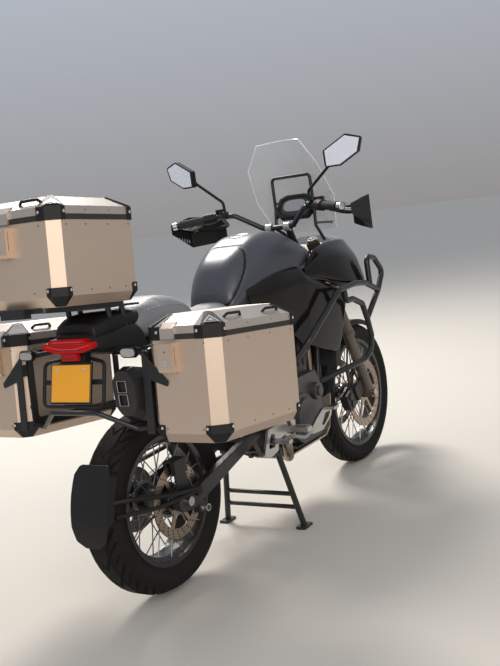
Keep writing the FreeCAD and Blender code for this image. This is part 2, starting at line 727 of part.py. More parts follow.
def exhaust_pipes():
    """Two headers down the front, a collector under the engine and one pipe up to the silencer."""
    header = [(1050, -54, 724), (1082, -54, 680), (1068, -54, 330), (1004, -48, 266), (905, -42, 266)]
    left = [(x, -y, z) for x, y, z in header]
    collector = rod(V(925, 0, 266), V(785, -38, 266), 20)
    box = block(V(900, -60, 248), V(930, 60, 284))
    link = [(800, -36, 266), (768, -40, 266), (712, -118, 264), (674, -140, 304), (668, -140, 500), (610, -146, 575),
            (440, -170, 612), (250, -190, 655), (132, SILENCER_Y, 693)]
    pipes = joined([tubes([header, left], 19, 50), box, collector, tubes([link], 20, 45)])
    return pipes.cut(engine()).cut(silencer())


@cache
def silencer():
    """An oval silencer that rises to the rear, with a domed end cap and a two-slot outlet."""
    stations = ((128, 694, 24, 24), (70, 704, 42, 60), (-190, 760, 52, 84), (-262, 778, 52, 86), (-296, 786, 42, 70))
    wires = []
    for x, z, half, tall in stations:
        corners = [V(x, SILENCER_Y - half, z - tall * 0.55), V(x, SILENCER_Y - half, z + tall * 0.55),
                   V(x, SILENCER_Y - half * 0.45, z + tall), V(x, SILENCER_Y + half * 0.45, z + tall),
                   V(x, SILENCER_Y + half, z + tall * 0.55), V(x, SILENCER_Y + half, z - tall * 0.55),
                   V(x, SILENCER_Y + half * 0.45, z - tall), V(x, SILENCER_Y - half * 0.45, z - tall)]
        wires.append(outline(corners, half * 0.45))
    shell = Part.makeLoft(wires, True, True)
    outlets = []
    for low in (748, 790):
        outlets.append(block(V(-300, SILENCER_Y - 10, low), V(-262, SILENCER_Y + 24, low + 35)))
    return shell.cut(Part.makeCompound(outlets))


def radiator():
    """A radiator with upright tubes between its side tanks, cut by rows of slots on its face."""
    core = plate([(1108, 552), (1142, 546), (1188, 772), (1155, 780)], -150, 150)
    slots = []
    for i in range(14):
        y = -143 + 21 * i
        slots.append(plate([(1136, 560), (1146, 558), (1192, 760), (1176, 764)], y, y + 13))
    tank_side = plate([(1104, 548), (1146, 540), (1193, 778), (1151, 786)], -172, -150, 5)
    boss = rod(V(1080, -90, 570), V(1116, -90, 570), 8)
    bosses = [boss, mirrored(boss)]
    return joined([core.cut(Part.makeCompound(slots)), tank_side, mirrored(tank_side)] + bosses).cut(engine_cradle())


@cache
def subframe():
    """The rear frame that carries the seat, the tail and the cases."""
    upper = [(756, -120, 842), (540, -118, 840), (120, -112, 860), (-190, -84, 896)]
    lower = [(604, -84, 640), (420, -112, 700), (100, -108, 856)]
    side = tubes([upper, lower], SUBFRAME_R, 60)
    bars = [rod(V(x, -y, z), V(x, y, z), 9) for x, y, z in ((400, 115, 845), (60, 106, 867), (-150, 87, 891))]
    for y in (-70, 70):
        bars.append(rod(V(400, y, 845), V(400, y, SEAT_FLOOR - FIT), 11))
    return joined([side, mirrored(side)] + bars).cut(main_frame())


@cache
def fuel_tank():
    """A tall tank: steep behind, flat on top, widest at the knees' front."""
    rows = [(TANK_BACK_X, [(50, 892), (96, 908), (88, 950), (50, 980)]),
            (545, [(68, 886), (120, 928), (114, 1010), (64, 1066)]),
            (620, [(80, 882), (142, 946), (138, 1052), (78, 1116)]),
            (720, [(90, TANK_FLOOR), (164, 968), (158, 1086), (88, 1156)]),
            (820, [(95, TANK_FLOOR), (178, 985), (170, 1094), (94, 1166)]),
            (910, [(92, 932), (182, 1002), (170, 1088), (88, 1154)]),
            (985, [(84, 962), (174, 1010), (162, 1074), (80, 1118)]),
            (1038, [(66, 996), (150, 1024), (142, 1062), (70, 1090)])]
    return body(rows, 20, True)


def side_covers():
    """Moulded covers beside the frame: from under the tank down to the engine and over the radiator."""
    rows = [(560, 972, 128, 945, 136, 884, 130), (700, 1006, 170, 942, 178, 800, 168),
            (850, 1016, 186, 972, 202, 704, 190), (904, 990, 188, 956, 208, 678, 196),
            (1000, 946, 200, 900, 210, 644, 200), (1106, 890, 206, 850, 210, 636, 200),
            (1204, 858, 206, 836, 208, 812, 205)]
    wires = []
    for x, top, top_y, crease, crease_y, low, low_y in rows:
        wires.append(outline([V(x, -top_y, top), V(x, -crease_y, crease), V(x, -low_y, low), V(x, 4 - low_y, low),
                              V(x, 4 - crease_y, crease), V(x, 4 - top_y, top)], 0))
    shell = Part.makeLoft(wires, True, True)
    bosses = []
    for x, inner, outer, z in ((760, 136, 178, 835), (945, 142, 196, 672), (1120, 107, 205, 795)):
        bosses.append(rod(V(x, -inner, z), V(x, -outer, z), 8))
    right = joined([shell] + bosses)
    return both_sides(right.cut(fairing()).cut(fuel_tank()).cut(main_frame()).cut(engine_cradle()))


def seat():
    """A stepped seat: a low rider's place against the tank and a raised pillion's place."""
    rows = [(TANK_BACK_X - FIT, [(86, SEAT_FLOOR), (102, 884), (88, 928), (48, 950)]),
            (450, [(96, SEAT_FLOOR), (118, 884), (110, 914), (66, 934)]),
            (330, [(120, SEAT_FLOOR), (146, 888), (136, 914), (90, 926)]),
            (235, [(120, 880), (146, 896), (134, 930), (95, 950)]),
            (190, [(115, 885), (138, 910), (122, 976), (85, 998)]),
            (110, [(105, 892), (130, 916), (114, 1000), (72, 1028)]),
            (0, [(95, 902), (118, 926), (102, 1000), (60, 1020)]),
            (-56, [(70, 908), (88, 930), (76, 984), (44, 1000)])]
    return body(rows, 10, True)


def tail_rows():
    """The tail cowl's outer sections from front to rear."""
    return [(240, [(118, 838), (140, 848), (140, 868), (120, 878)]),
            (0, [(100, 862), (132, 874), (130, 893), (92, 900)]),
            (-60, [(92, 872), (126, 884), (118, 898), (60, 905)]),
            (-68, [(92, 872), (125, 884), (110, 955), (60, 985)]),
            (-200, [(85, 892), (112, 908), (96, 965), (60, 990)]),
            (-282, [(60, 912), (80, 922), (74, 958), (50, 972)])]


def tail_cowl():
    """The tail's moulded cover, from under the seat to the lamp."""
    rows = tail_rows()
    hollow = [(x, [(y - 3, z - 12 if i < 1 else z - 3) for i, (y, z) in enumerate(half)]) for x, half in rows]
    hollow[0] = (241, hollow[0][1])
    hollow[-1] = (-278, hollow[-1][1])
    openings = [rack_struts(10), indicator_stalks(), pannier_stays(9)]
    shell = body(rows, 5, True).cut(body(hollow, 3, True))
    for opening in openings:
        shell = shell.cut(opening)
    return shell


@cache
def tail_lamp():
    """The red rear lamp across the tail's end, winged at both ends, with a reflector below it."""
    half = [(60, 918), (78, 924), (108, 932), (104, 950), (80, 951), (70, 962)]
    points = [V(-302, -y, z) for y, z in half] + [V(-302, y, z) for y, z in reversed(half)]
    lens = Part.Face(outline(points, 3)).extrude(V(20 - FIT, 0, 0))
    return lens.fuse(block(V(-300, -34, 893), V(-288, 34, 919))).removeSplitter()


def plate_holder():
    """The plate's carrier: an arm down from the tail, a backing sheet and a bent tube round it."""
    arm = plate([(-255, 911), (behind(911, -5), 911), (behind(780, -5), 780), (behind(780, -26), 780)], -52, 52, 3)
    back = plate([(behind(886, -6), 886), (behind(886, 0), 886), (behind(762, 0), 762), (behind(762, -6), 762)],
                 -84, 84, 0)
    loop = tube([V(-262, 48, 893), V(-284, 126, 884), V(-320, 126, 752), V(-320, -126, 752), V(-284, -126, 884),
                 V(-262, -48, 893)], 6, 20)
    tabs = [block(V(-304, side * 103 - 24, 818), V(-300, side * 103 + 24, 834)) for side in (-1, 1)]
    return joined([arm, back, loop] + tabs).cut(tail_lamp()).cut(tail_block())


def behind(z, out):
    """How far back the number plate's seat lies at a height, with the given distance further out."""
    return PLATE_TOP_X - (PLATE_TOP_Z - z) * PLATE_LEAN - out


def tail_block():
    """The room that the tail cowl's rear end takes, where the plate's arm is bolted on."""
    return block(V(-283, -120, 911), V(-60, 120, 1000))


def number_plate():
    """The plate, blank, flat on its carrier."""
    low = PLATE_TOP_Z - PLATE_HEIGHT
    corners = [(behind(PLATE_TOP_Z, FIT), PLATE_TOP_Z), (behind(PLATE_TOP_Z, 3), PLATE_TOP_Z),
               (behind(low, 3), low), (behind(low, FIT), low)]
    return plate(corners, -PLATE_WIDTH / 2, PLATE_WIDTH / 2, 0)


def indicator_stalks():
    right = rod(V(-254, -190, 908), V(-205, -106, 912), 7)
    return both_sides(right)


def rear_indicators():
    """Small rounded lamps on stalks each side of the tail."""
    corners = [V(-276, -186, 894), V(-276, -246, 894), V(-276, -246, 923), V(-276, -186, 923)]
    lens = Part.Face(outline(corners, 13)).extrude(V(8, 0, 0))
    corners = [V(-268, -183, 891), V(-268, -249, 891), V(-268, -249, 926), V(-268, -183, 926)]
    back = [V(-232, -196, 902), V(-232, -236, 902), V(-232, -236, 916), V(-232, -196, 916)]
    shell = Part.makeLoft([outline(corners, 12), outline(back, 6)], True, True)
    lamps = both_sides(joined([lens, shell]))
    return lamps.fuse(indicator_stalks()).cut(body(tail_rows(), 5, True))


def case_plan(case, inset, z):
    """A case's outline at one height: a rectangle with its corners cut off, set in by an inset."""
    length, width, _, cut = case
    high = length - inset
    half = width / 2 - inset
    slant = max(cut - inset * (2 - math.sqrt(2)), 4)
    points = [(inset + slant, -half), (high - slant, -half), (high, -half + slant), (high, half - slant),
              (high - slant, half), (inset + slant, half), (inset, half - slant), (inset, -half + slant)]
    return outline([V(x, y, z) for x, y in points], 0)


def grown(case, skin):
    """The sizes of a case that is larger all round by a skin."""
    length, width, depth, cut = case
    return length + 2 * skin, width + 2 * skin, depth, cut + skin * (2 - math.sqrt(2))


def case_outer(case, wall):
    """A case body's outer or inner form, chamfered up its corners and along its bottom."""
    low = wall - case[2]
    sections = [case_plan(case, wall + 24, low), case_plan(case, wall, low + CASE_CHAMFER), case_plan(case, wall, 0)]
    return Part.makeLoft(sections, True, True)


def case_lid_form(case, wall):
    """A lid's outer or inner form: an upright strip and then a sloping one up to the flat top."""
    sections = [case_plan(case, wall, FIT), case_plan(case, wall, LID_STRIP),
                case_plan(case, wall + LID_INSET, LID_HEIGHT - wall)]
    return Part.makeLoft(sections, True, True)


def case_body(case, latch_y):
    """An open-topped case with its latch box behind and its hinge leaf and pin in front."""
    length = case[0]
    shell = case_outer(case, 0).cut(case_outer(case, CASE_WALL))
    side_view = [(1, -8), (2 - LATCH_DEPTH, -8), (-LATCH_DEPTH, -14), (-LATCH_DEPTH, LATCH_LOW + LATCH_CHAMFER),
                 (6 - LATCH_DEPTH, LATCH_LOW), (1, LATCH_LOW)]
    latch = plate(side_view, latch_y - LATCH_WIDTH / 2, latch_y + LATCH_WIDTH / 2)
    slot = block(V(9 - LATCH_DEPTH, latch_y - LATCH_WIDTH, LATCH_LOW + 22), V(12 - LATCH_DEPTH, latch_y + LATCH_WIDTH, -20))
    knuckles = []
    for y in (-50, 30):
        knuckles.append(Part.makeCylinder(HINGE_R, 20, V(length + HINGE_OUT, y, 0), ACROSS))
        knuckles.append(block(V(length - 1, y, -24), V(length + 4, y + 20, 0)))
    pin = Part.makeCylinder(HINGE_PIN_R, 90, V(length + HINGE_OUT, -45, 0), ACROSS)
    grooves = [slot.common(block(V(-40, latch_y + side * LATCH_WIDTH / 2 - 3, -200),
                                 V(0, latch_y + side * LATCH_WIDTH / 2 + 3, 0))) for side in (-1, 1)]
    return joined([shell, latch, pin] + knuckles).cut(Part.makeCompound(grooves))


def case_lid(case, latch_y):
    """The lid with the latch's hook behind and the hinge's knuckle in front."""
    length = case[0]
    half = LATCH_WIDTH / 2 - 3
    shell = case_lid_form(case, 0).cut(case_lid_form(case, CASE_WALL))
    side_view = [(1, 2), (-8, 2), (-8, 34), (14, 53), (17, 49), (1, 38)]
    hook = plate(side_view, latch_y - half, latch_y + half).cut(case_lid_form(case, CASE_WALL))
    knuckle = Part.makeCylinder(HINGE_R, 56, V(length + HINGE_OUT, -28, 0), ACROSS)
    leaf = block(V(length - 1, -28, 3), V(length + HINGE_OUT, 28, 12))
    bore = Part.makeCylinder(HINGE_PIN_R + 0.5, 60, V(length + HINGE_OUT, -30, 0), ACROSS)
    return joined([shell, hook, knuckle, leaf]).cut(bore)


def lash_handle(spot, along, out):
    """A lashing bar on two feet, at a spot on a sloping face."""
    return tube([spot - along * 44, spot - along * 33 + out * 11, spot + along * 33 + out * 11, spot + along * 44], 4.5, 9)


def lid_caps(case, side_handles):
    """Black caps over a lid's four corners, with the lashing handles on its slopes."""
    length, width, _, cut = case
    half = width / 2
    lid = case_lid_form(case, 0)
    skin = moved(case_lid_form(grown(case, CAP_THICK), 0), V(-CAP_THICK, 0, 0)).cut(lid)
    near = cut + 16
    far = cut + 30
    plan = [(-5, -5), (near, -5), (near, 0), (near + LID_INSET - 32, LID_INSET + 4), (LID_INSET + 2, LID_INSET + 16),
            (0, far), (-5, far)]
    zone = floor_plate([(x, y - half) for x, y in plan], 0, LID_HEIGHT)
    zones = []
    for corner_zone in (zone, mirrored(zone)):
        zones += [corner_zone, corner_zone.mirror(V(length / 2, 0, 0), V(1, 0, 0))]
    pieces = [skin.common(corner_zone) for corner_zone in zones]
    rise = LID_HEIGHT - LID_STRIP
    slope = math.hypot(LID_INSET, rise)
    inward = 0.42 * LID_INSET
    height = LID_STRIP + 0.42 * rise
    out_flat = rise / slope
    out_up = LID_INSET / slope
    if side_handles:
        for share in (0.28, 0.72):
            for side in (-1, 1):
                spot = V(share * length, side * (half - inward), height)
                pieces.append(lash_handle(spot, V(1, 0, 0), V(0, side * out_flat, out_up)).cut(lid))
    else:
        for y in (-0.23 * width, 0.23 * width):
            pieces.append(lash_handle(V(inward, y, height), V(0, 1, 0), V(-out_flat, 0, out_up)).cut(lid))
    return Part.makeCompound(pieces)


def tilted(shape, corner_point):
    """A case part moved to its lid-level rear edge and tilted nose-down."""
    return moved(turned(shape, V(0, 0, 0), ACROSS, CASE_TILT), corner_point)


def topcase_corner():
    tilt = math.radians(CASE_TILT)
    back = LATCH_DEPTH * math.cos(tilt) - (LATCH_LOW + LATCH_CHAMFER) * math.sin(tilt)
    return V(back - BACK_OVERHANG, 0, TOPCASE_LID_Z)


def topcase():
    """The top case's length, width, depth and corner cut."""
    return TOPCASE_LENGTH, TOPCASE_WIDTH, TOPCASE_DEPTH, TOPCASE_CUT


def pannier():
    """A pannier's length, width, depth and corner cut."""
    return PANNIER_LENGTH, PANNIER_WIDTH, PANNIER_DEPTH, PANNIER_CUT


def pannier_corner(side):
    return V(PANNIER_REAR_X, side * (PANNIER_INNER_Y + PANNIER_WIDTH / 2), PANNIER_LID_Z)


def corner_shields(case):
    """Shields bent round a case's four lower corners, each cut to a tapering outline."""
    length, width, depth, cut = case
    skin = moved(case_outer(grown(case, SHIELD_THICK), 0), V(-SHIELD_THICK, 0, 0)).cut(case_outer(case, 0))
    reach = cut / math.sqrt(2) + 15
    top = CASE_CHAMFER + 26 - depth
    profile = [(-reach, top), (reach, top), (reach, top - 24), (0.4 * reach, 1 - depth), (-0.4 * reach, 1 - depth),
               (-reach, top - 24)]
    prism = Part.Face(outline([V(-80, s, z) for s, z in profile], 5)).extrude(V(110, 0, 0))
    shields = []
    for x, x_side in ((cut / 2, -1), (length - cut / 2, 1)):
        for side in (-1, 1):
            angle = math.degrees(math.atan2(side, x_side))
            place = V(x, side * (width / 2 - cut / 2), 0)
            shields.append(skin.common(moved(turned(prism, V(0, 0, 0), UP, angle), place)))
    return Part.makeCompound(shields)


def case_guards():
    """Black shields over the lower corners of the three cases."""
    panniers = [tilted(corner_shields(pannier()), pannier_corner(side)) for side in (-1, 1)]
    return Part.makeCompound([tilted(corner_shields(topcase()), topcase_corner())] + panniers)


def luggage_rack():
    """The plate under the top case, on four struts from the tail."""
    top = -TOPCASE_DEPTH - FIT
    sheet = floor_plate([(20, -110), (370, -110), (430, -60), (430, 60), (370, 110), (20, 110)], top - 14, top, 20)
    windows = [floor_plate([(x, -78), (x + 130, -78), (x + 130, 78), (x, 78)], top - 15, top + 1, 15) for x in (66, 220)]
    lock = block(V(-2, -48, top - 27), V(28, 48, top))
    deck = tilted(joined([sheet.cut(Part.makeCompound(windows)), lock]), topcase_corner())
    return joined([deck, rack_struts(9)]).cut(topcase_room()).cut(subframe())


def rack_struts(radius):
    """The luggage rack's four struts, from the rear frame up to its plate."""
    struts = []
    for x, y, low in ((-120, 90, 884), (-180, 85, 892)):
        for side in (-1, 1):
            struts.append(rod(V(x, side * y, low), V(x - 4, side * y, 1090), radius))
    return Part.makeCompound(struts)


def topcase_room():
    """Everything above the luggage rack's plate."""
    low = -TOPCASE_DEPTH - FIT
    return tilted(block(V(-100, -200, low), V(600, 200, low + 200)), topcase_corner())


def pannier_stays(radius):
    """The stays that tie the pannier racks' top edges to the rear frame."""
    y = RACK_OUTER_Y - 4
    stays = []
    for x, z, inner in ((90, 884, 108), (-130, 900, 88)):
        stays.append(rod(V(x, -y, z), V(x, -inner, z - 12), radius))
    return both_sides(Part.makeCompound(stays))


def rear_bracket():
    """The flat leg and slanting arm that hold the right pannier's rear face, in the case's own place."""
    inner = PANNIER_WIDTH / 2 + 8
    face = [(inner, -33), (46, -122), (50, -138), (inner - 28, -118), (inner - 28, -282), (inner, -282)]
    sheet = Part.Face(outline([V(-4.3, y, z) for y, z in face], 3)).extrude(V(4, 0, 0))
    tab = block(V(-4.3, inner - 6, -100), V(40, inner, -62))
    return tilted(joined([sheet, tab]), pannier_corner(-1))


def pannier_racks():
    """Flat-bar loops beside the panniers' inner faces, stayed to the rear frame and the pivot plates."""
    outer = [(-236, 912), (-254, 664), (196, 616), (216, 868), (40, 896)]
    inner = [(-212, 888), (-228, 690), (174, 647), (192, 848), (34, 872)]
    loop = plate(outer, -RACK_OUTER_Y, 8 - RACK_OUTER_Y, 24).cut(plate(inner, -RACK_OUTER_Y, 8 - RACK_OUTER_Y, 12))
    pads = []
    for x, z in ((-224, 850), (-240, 730), (202, 820), (190, 700)):
        pads.append(Part.makeCylinder(11, 6, V(x, -RACK_OUTER_Y + 4, z), V(0, -1, 0)))
    low = tube([V(180, 5 - RACK_OUTER_Y, 648), V(300, -238, 565), V(520, -150, 560), V(588, -79, 580)], RACK_R, 60)
    side = joined([loop, low] + pads).cut(pannier_room())
    sides = both_sides(joined([side, rear_bracket()]))
    cross = tube([V(-244, -257, 668), V(-262, -200, 666), V(-318, -96, 730), V(-318, 96, 730), V(-262, 200, 666),
                  V(-244, 257, 668)], RACK_R, 18)
    return joined([sides, pannier_stays(RACK_R), cross]).cut(subframe()).cut(main_frame())


def pannier_room():
    """Everything outside the right pannier's inner face."""
    return block(V(-400, -900, 300), V(400, FIT - PANNIER_INNER_Y, 1200))


def crash_bars():
    """Tube guards round the fairing on each side, bolted to the frame."""
    rows = [[(722, -146, 604), (790, -240, 728), (1040, -262, 884), (1200, -262, 888), (1300, -258, 874),
             (1436, -250, 824)],
            [(1350, -255, 862), (1352, -252, 985), (1430, -250, 968), (1500, -250, 898), (1438, -250, 824),
             (1302, -246, 716)],
            [(1096, -256, 880), (1112, -252, 826), (1180, -250, 824), (1262, -250, 790), (1302, -246, 716),
             (1336, -240, 636), (1340, -228, 572), (1296, -215, 538), (1198, -190, 526), (1074, -98, 492)]]
    right = tubes(rows, CRASH_R, 28)
    return both_sides(right).cut(main_frame()).cut(engine_cradle())


def engine_guard():
    """A dished skid plate under the engine, turned up in front, slotted and bolted to the cradle."""
    rows = [(760, 240, 5), (1034, 238, 5), (1072, 262, 8), (1092, 318, 15), (1114, 392, 15)]
    wires = []
    for x, z, thick in rows:
        points = [(-118, z + 24), (-76, z), (76, z), (118, z + 24), (118, z + 24 + thick), (76, z + thick),
                  (-76, z + thick), (-118, z + 24 + thick)]
        wires.append(outline([V(x, y, height) for y, height in points], 0))
    sheet = Part.makeLoft(wires, True, True)
    slots = []
    for x in (790, 830, 960):
        slots.append(floor_plate([(x, -60), (x + 18, -60), (x + 18, 60), (x, 60)], 230, 250, 8))
    ears = [block(V(880, side * 95 - 8, 253), V(920, side * 95 + 8, CRADLE_LOW)) for side in (-1, 1)]
    return joined([sheet.cut(Part.makeCompound(slots))] + ears).cut(engine_cradle())


@cache
def fairing():
    """Moulded side panels each side of the tank and forks, and the beak over the front wheel."""
    rows = [(905, [(-185, 950), (-198, 950), (-198, 1004), (-185, 1004)]),
            (1000, [(-184, 934), (-222, 936), (-216, 1040), (-184, 1075)]),
            (1150, [(-182, 884), (-246, 890), (-232, 1050), (-182, 1120)]),
            (1290, [(-178, 852), (-244, 862), (-222, 1040), (-178, 1130)]),
            (1400, [(-140, 862), (-214, 872), (-186, 1020), (-120, 1090)]),
            (1490, [(-60, 892), (-120, 900), (-110, 960), (-50, 1000)])]
    right = side_body(rows, 5, True)
    nose = body([(1410, [(118, 880), (140, 900), (120, 985), (80, 1000)]),
                 (1500, [(70, 890), (100, 905), (90, 960), (60, 975)]),
                 (1640, [(20, 902), (40, 908), (36, 930), (16, 938)])], 5, True)
    return joined([right, mirrored(right), nose]).cut(headlamp())


@cache
def headlamp():
    rows = [(1330, [(60, 1004), (100, 1012), (96, 1080), (50, 1100)]),
            (1440, [(78, 1004), (112, 1012), (104, 1066), (60, 1084)]),
            (1480, [(60, 1010), (86, 1020), (80, 1050), (50, 1060)])]
    return body(rows, 8, True)


def screen_stays():
    """Four stays ahead of the instrument frame, each ending in the screw that holds the screen."""
    pieces = []
    for y in (-96, 96):
        pieces.append(rod(V(1224, y, 1262), V(1327, y, 1262), SCREEN_SCREW_R))
        pieces.append(rod(V(1217, y, 1162), V(1372, y, 1150), SCREEN_SCREW_R))
    return pieces


def windscreen():
    """A clear screen bent round a tall axis, held by four screws through it."""
    rows = [(1305, 150, 1135, 1408, 1112), (1239, 193, 1270, 1352, 1240), (1158, 170, 1417, 1268, 1400),
            (1148, 105, 1521, 1186, 1528)]
    wires = []
    for side_x, half, side_z, middle_x, middle_z in rows:
        right = V(side_x, -half, side_z)
        left = V(side_x, half, side_z)
        middle = V(middle_x, 0, middle_z)
        shift = V(side_x - middle_x, 0, side_z - middle_z)
        shift.normalize()
        shift *= SCREEN_THICK
        outer = Part.Arc(right, middle, left).toShape()
        inner = Part.Arc(left + shift, middle + shift, right + shift).toShape()
        left_end = Part.LineSegment(left, left + shift).toShape()
        right_end = Part.LineSegment(right + shift, right).toShape()
        wires.append(Part.Wire([outer, left_end, inner, right_end]))
    return Part.makeLoft(wires, True, True).cut(Part.makeCompound(screen_stays()))


def instrument_frame():
    """A bent tube behind the screen with a bar across its top, stayed to the head tube."""
    loop = tube([V(1215, -100, 1150), V(1226, -96, 1240), V(1224, -95, 1373), V(1224, 95, 1373),
                 V(1226, 96, 1240), V(1215, 100, 1150)], 7, 18)
    cross = tube([V(1222, -97, 1196), V(1257, -84, 1224), V(1257, 84, 1224), V(1222, 97, 1196)], 7, 15)
    stays = []
    for side in (-1, 1):
        stays.append(rod(V(1215, side * 100, 1152), V(1332, side * 70, 1080), 7))
    return joined([loop, cross] + stays + screen_stays()).cut(dash()).cut(headlamp())


@cache
def dash():
    """The instrument panel: a rounded case with a sunk face, leaning towards the rider."""
    case = [(-87, -24), (-68, -52), (68, -52), (87, -24), (80, 40), (46, 56), (-46, 56), (-80, 40)]
    points = [V(0, y, z) for y, z in case]
    shell = Part.Face(outline(points, 12)).extrude(V(34, 0, 0))
    face = Part.Face(outline([p * 0.84 for p in points], 10)).extrude(V(3, 0, 0))
    panel = shell.cut(face)
    return moved(turned(panel, V(0, 0, 0), ACROSS, 32), V(1222, 0, 1246))


def hugger():
    """The lobed flap behind the rear tyre, on two arms from the right end of the swingarm."""
    inner = 340.0
    half = 84.0
    band = ring(REAR_AXLE, [(-half, inner - 26), (-half + 4, inner - 26), (-half + 12, inner),
                            (half - 12, inner), (half - 4, inner - 26), (half, inner - 26),
                            (half - 9, inner + 4), (-half + 9, inner + 4)])
    lobes = [(28, 290), (62, 312), (86, 398), (86, 500), (60, 545)]
    points = [V(-420, -y, z) for y, z in lobes] + [V(-420, y, z) for y, z in reversed(lobes)]
    zone = Part.Face(outline(points, 16)).extrude(V(270, 0, 0))
    flap = band.common(zone)
    upper = tube([V(50, -151, 366), V(-100, -151, 392), V(-250, -120, 430), V(-302, -78, 432)], 8, 40)
    lower = tube([V(46, -151, 358), V(-160, -146, 372), V(-300, -80, 384)], 7, 40)
    clamp = block(V(36, -158, 344), V(62, -142, 374))
    return joined([flap, upper, lower, clamp]).cut(swingarm())


def rear_caliper():
    outer = block(V(-20, -118, 428), V(48, -70, 478))
    slot = block(V(-30, -REAR_DISC_Y - PAD_GAP, 420), V(60, -REAR_DISC_Y + PAD_GAP, 472))
    bracket = plate([(-14, 434), (-14, 376), (40, 342), (60, 342), (60, 366), (42, 434)], FIT - 112, -105, 4)
    keep_off = rod(REAR_AXLE - V(0, 160, 0), REAR_AXLE + V(0, 160, 0), 40)
    return joined([outer, bracket]).cut(slot).cut(keep_off)


def foot_controls():
    """Footpeg hangers with both pairs of pegs, the gear lever on the left and the brake pedal on the right."""
    def hanger(side):
        def across(near, far):
            return min(side * near, side * far), max(side * near, side * far)

        sheet = plate([(575, 520), (560, 470), (620, 380), (690, 380), (700, 420), (630, 520)], *across(168, 176), 10)
        window = plate([(612, 470), (645, 412), (672, 412), (628, 486)], *across(167, 177), 5)
        casting = plate([(432, 356), (482, 446), (530, 448), (620, 446), (606, 398), (546, 388), (532, 350),
                         (478, 340)], *across(176, 186), 8)
        hollow = plate([(466, 374), (494, 424), (520, 424), (516, 370)], *across(175, 187), 8)
        spacer = rod(V(600, side * 80.5, 500), V(600, side * 170, 500), 12)
        low, high = across(172, 262)
        peg = block(V(640, low, 392), V(676, high, 410))
        low, high = across(184, 258)
        pillion = block(V(500, low, 386), V(528, high, 400))
        teeth = []
        for i in range(5):
            spot = side * (200 + 13 * i)
            teeth.append(block(V(640, spot - 3, 409), V(676, spot + 3, 414)))
        return [sheet.cut(window), casting.cut(hollow), spacer, peg, pillion] + teeth

    brake = tube([V(655, -186, 372), V(700, -209, 352), V(790, -209, 370)], 7, 40)
    pedal = plate([(752, 372), (800, 400), (866, 429), (944, 420), (924, 382), (842, 343), (756, 350)], -215, -203, 9)
    opening = plate([(838, 368), (878, 406), (922, 404), (902, 384), (852, 358)], -216, -202, 5)
    brake_pad = block(V(898, -248, 412), V(938, -210, 424))
    brake_pin = rod(V(655, -166, 380), V(655, -190, 374), 12)
    gear = tube([V(655, 186, 372), V(760, 190, 340), V(880, 196, 372)], 6, 60)
    gear_peg = rod(V(878, 190, 374), V(878, 240, 374), 9)
    gear_pin = rod(V(655, 166, 380), V(655, 190, 374), 12)
    right = joined(hanger(-1) + [brake_pin, brake, pedal.cut(opening), brake_pad])
    left = joined(hanger(1) + [gear_pin, gear, gear_peg])
    return Part.makeCompound([right, left])


def chain_guard():
    sheet = plate([(40, 470), (60, 482), (480, 492), (520, 486), (480, 486), (60, 476)], 84, 112, 0)
    leg = block(V(300, 108, 400), V(330, 112, 487))
    return joined([sheet, leg]).cut(swingarm())


def centre_stand():
    """Two splayed legs with feet, joined by two crossbars, hung on a pin under the engine."""
    foot = STAND_FOOT
    top = V(STAND_PIVOT.x, STAND_TOP_Y, STAND_PIVOT.z)
    way = foot - top

    def at_height(z):
        return top + way * ((top.z - z) / top.z)

    leg = rod(top, at_height(10), STAND_R)
    shoe = block(V(foot.x - 34, foot.y - 20, 0), V(foot.x + 30, foot.y + 20, 10))
    eye = Part.makeCylinder(18, 26, top - V(0, 13, 0), ACROSS)
    side = joined([leg, shoe, eye])
    bars = []
    for z in (140, 84):
        place = at_height(z)
        bars.append(rod(place, V(place.x, -place.y, z), 9))
    pin_hole = rod(top - V(0, 300, 0), top + V(0, 60, 0), STAND_PIN_R + 0.4)
    return joined([side, mirrored(side)] + bars).cut(pin_hole)


def side_stand_mount():
    """The lug under the left cradle tube and the pin that the side stand turns on."""
    side_pin = rod(SIDE_PIVOT - SIDE_AXIS * 84, SIDE_PIVOT + SIDE_AXIS * 14, SIDE_PIN_R)
    lug = block(SIDE_PIVOT - V(22, 97, 26), SIDE_PIVOT + V(22, -80, 34))
    return [lug, side_pin]


def side_stand():
    """The side stand, folded up along the left side."""
    leg = rod(SIDE_PIVOT, SIDE_END, 10)
    eye = rod(SIDE_PIVOT - SIDE_AXIS * 9, SIDE_PIVOT + SIDE_AXIS * 9, 17)
    shoe = block(SIDE_END - V(30, 16, 12), SIDE_END + V(16, 16, -4))
    hole = rod(SIDE_PIVOT - SIDE_AXIS * 30, SIDE_PIVOT + SIDE_AXIS * 30, SIDE_PIN_R + 0.4)
    return joined([leg, eye, shoe]).cut(hole)


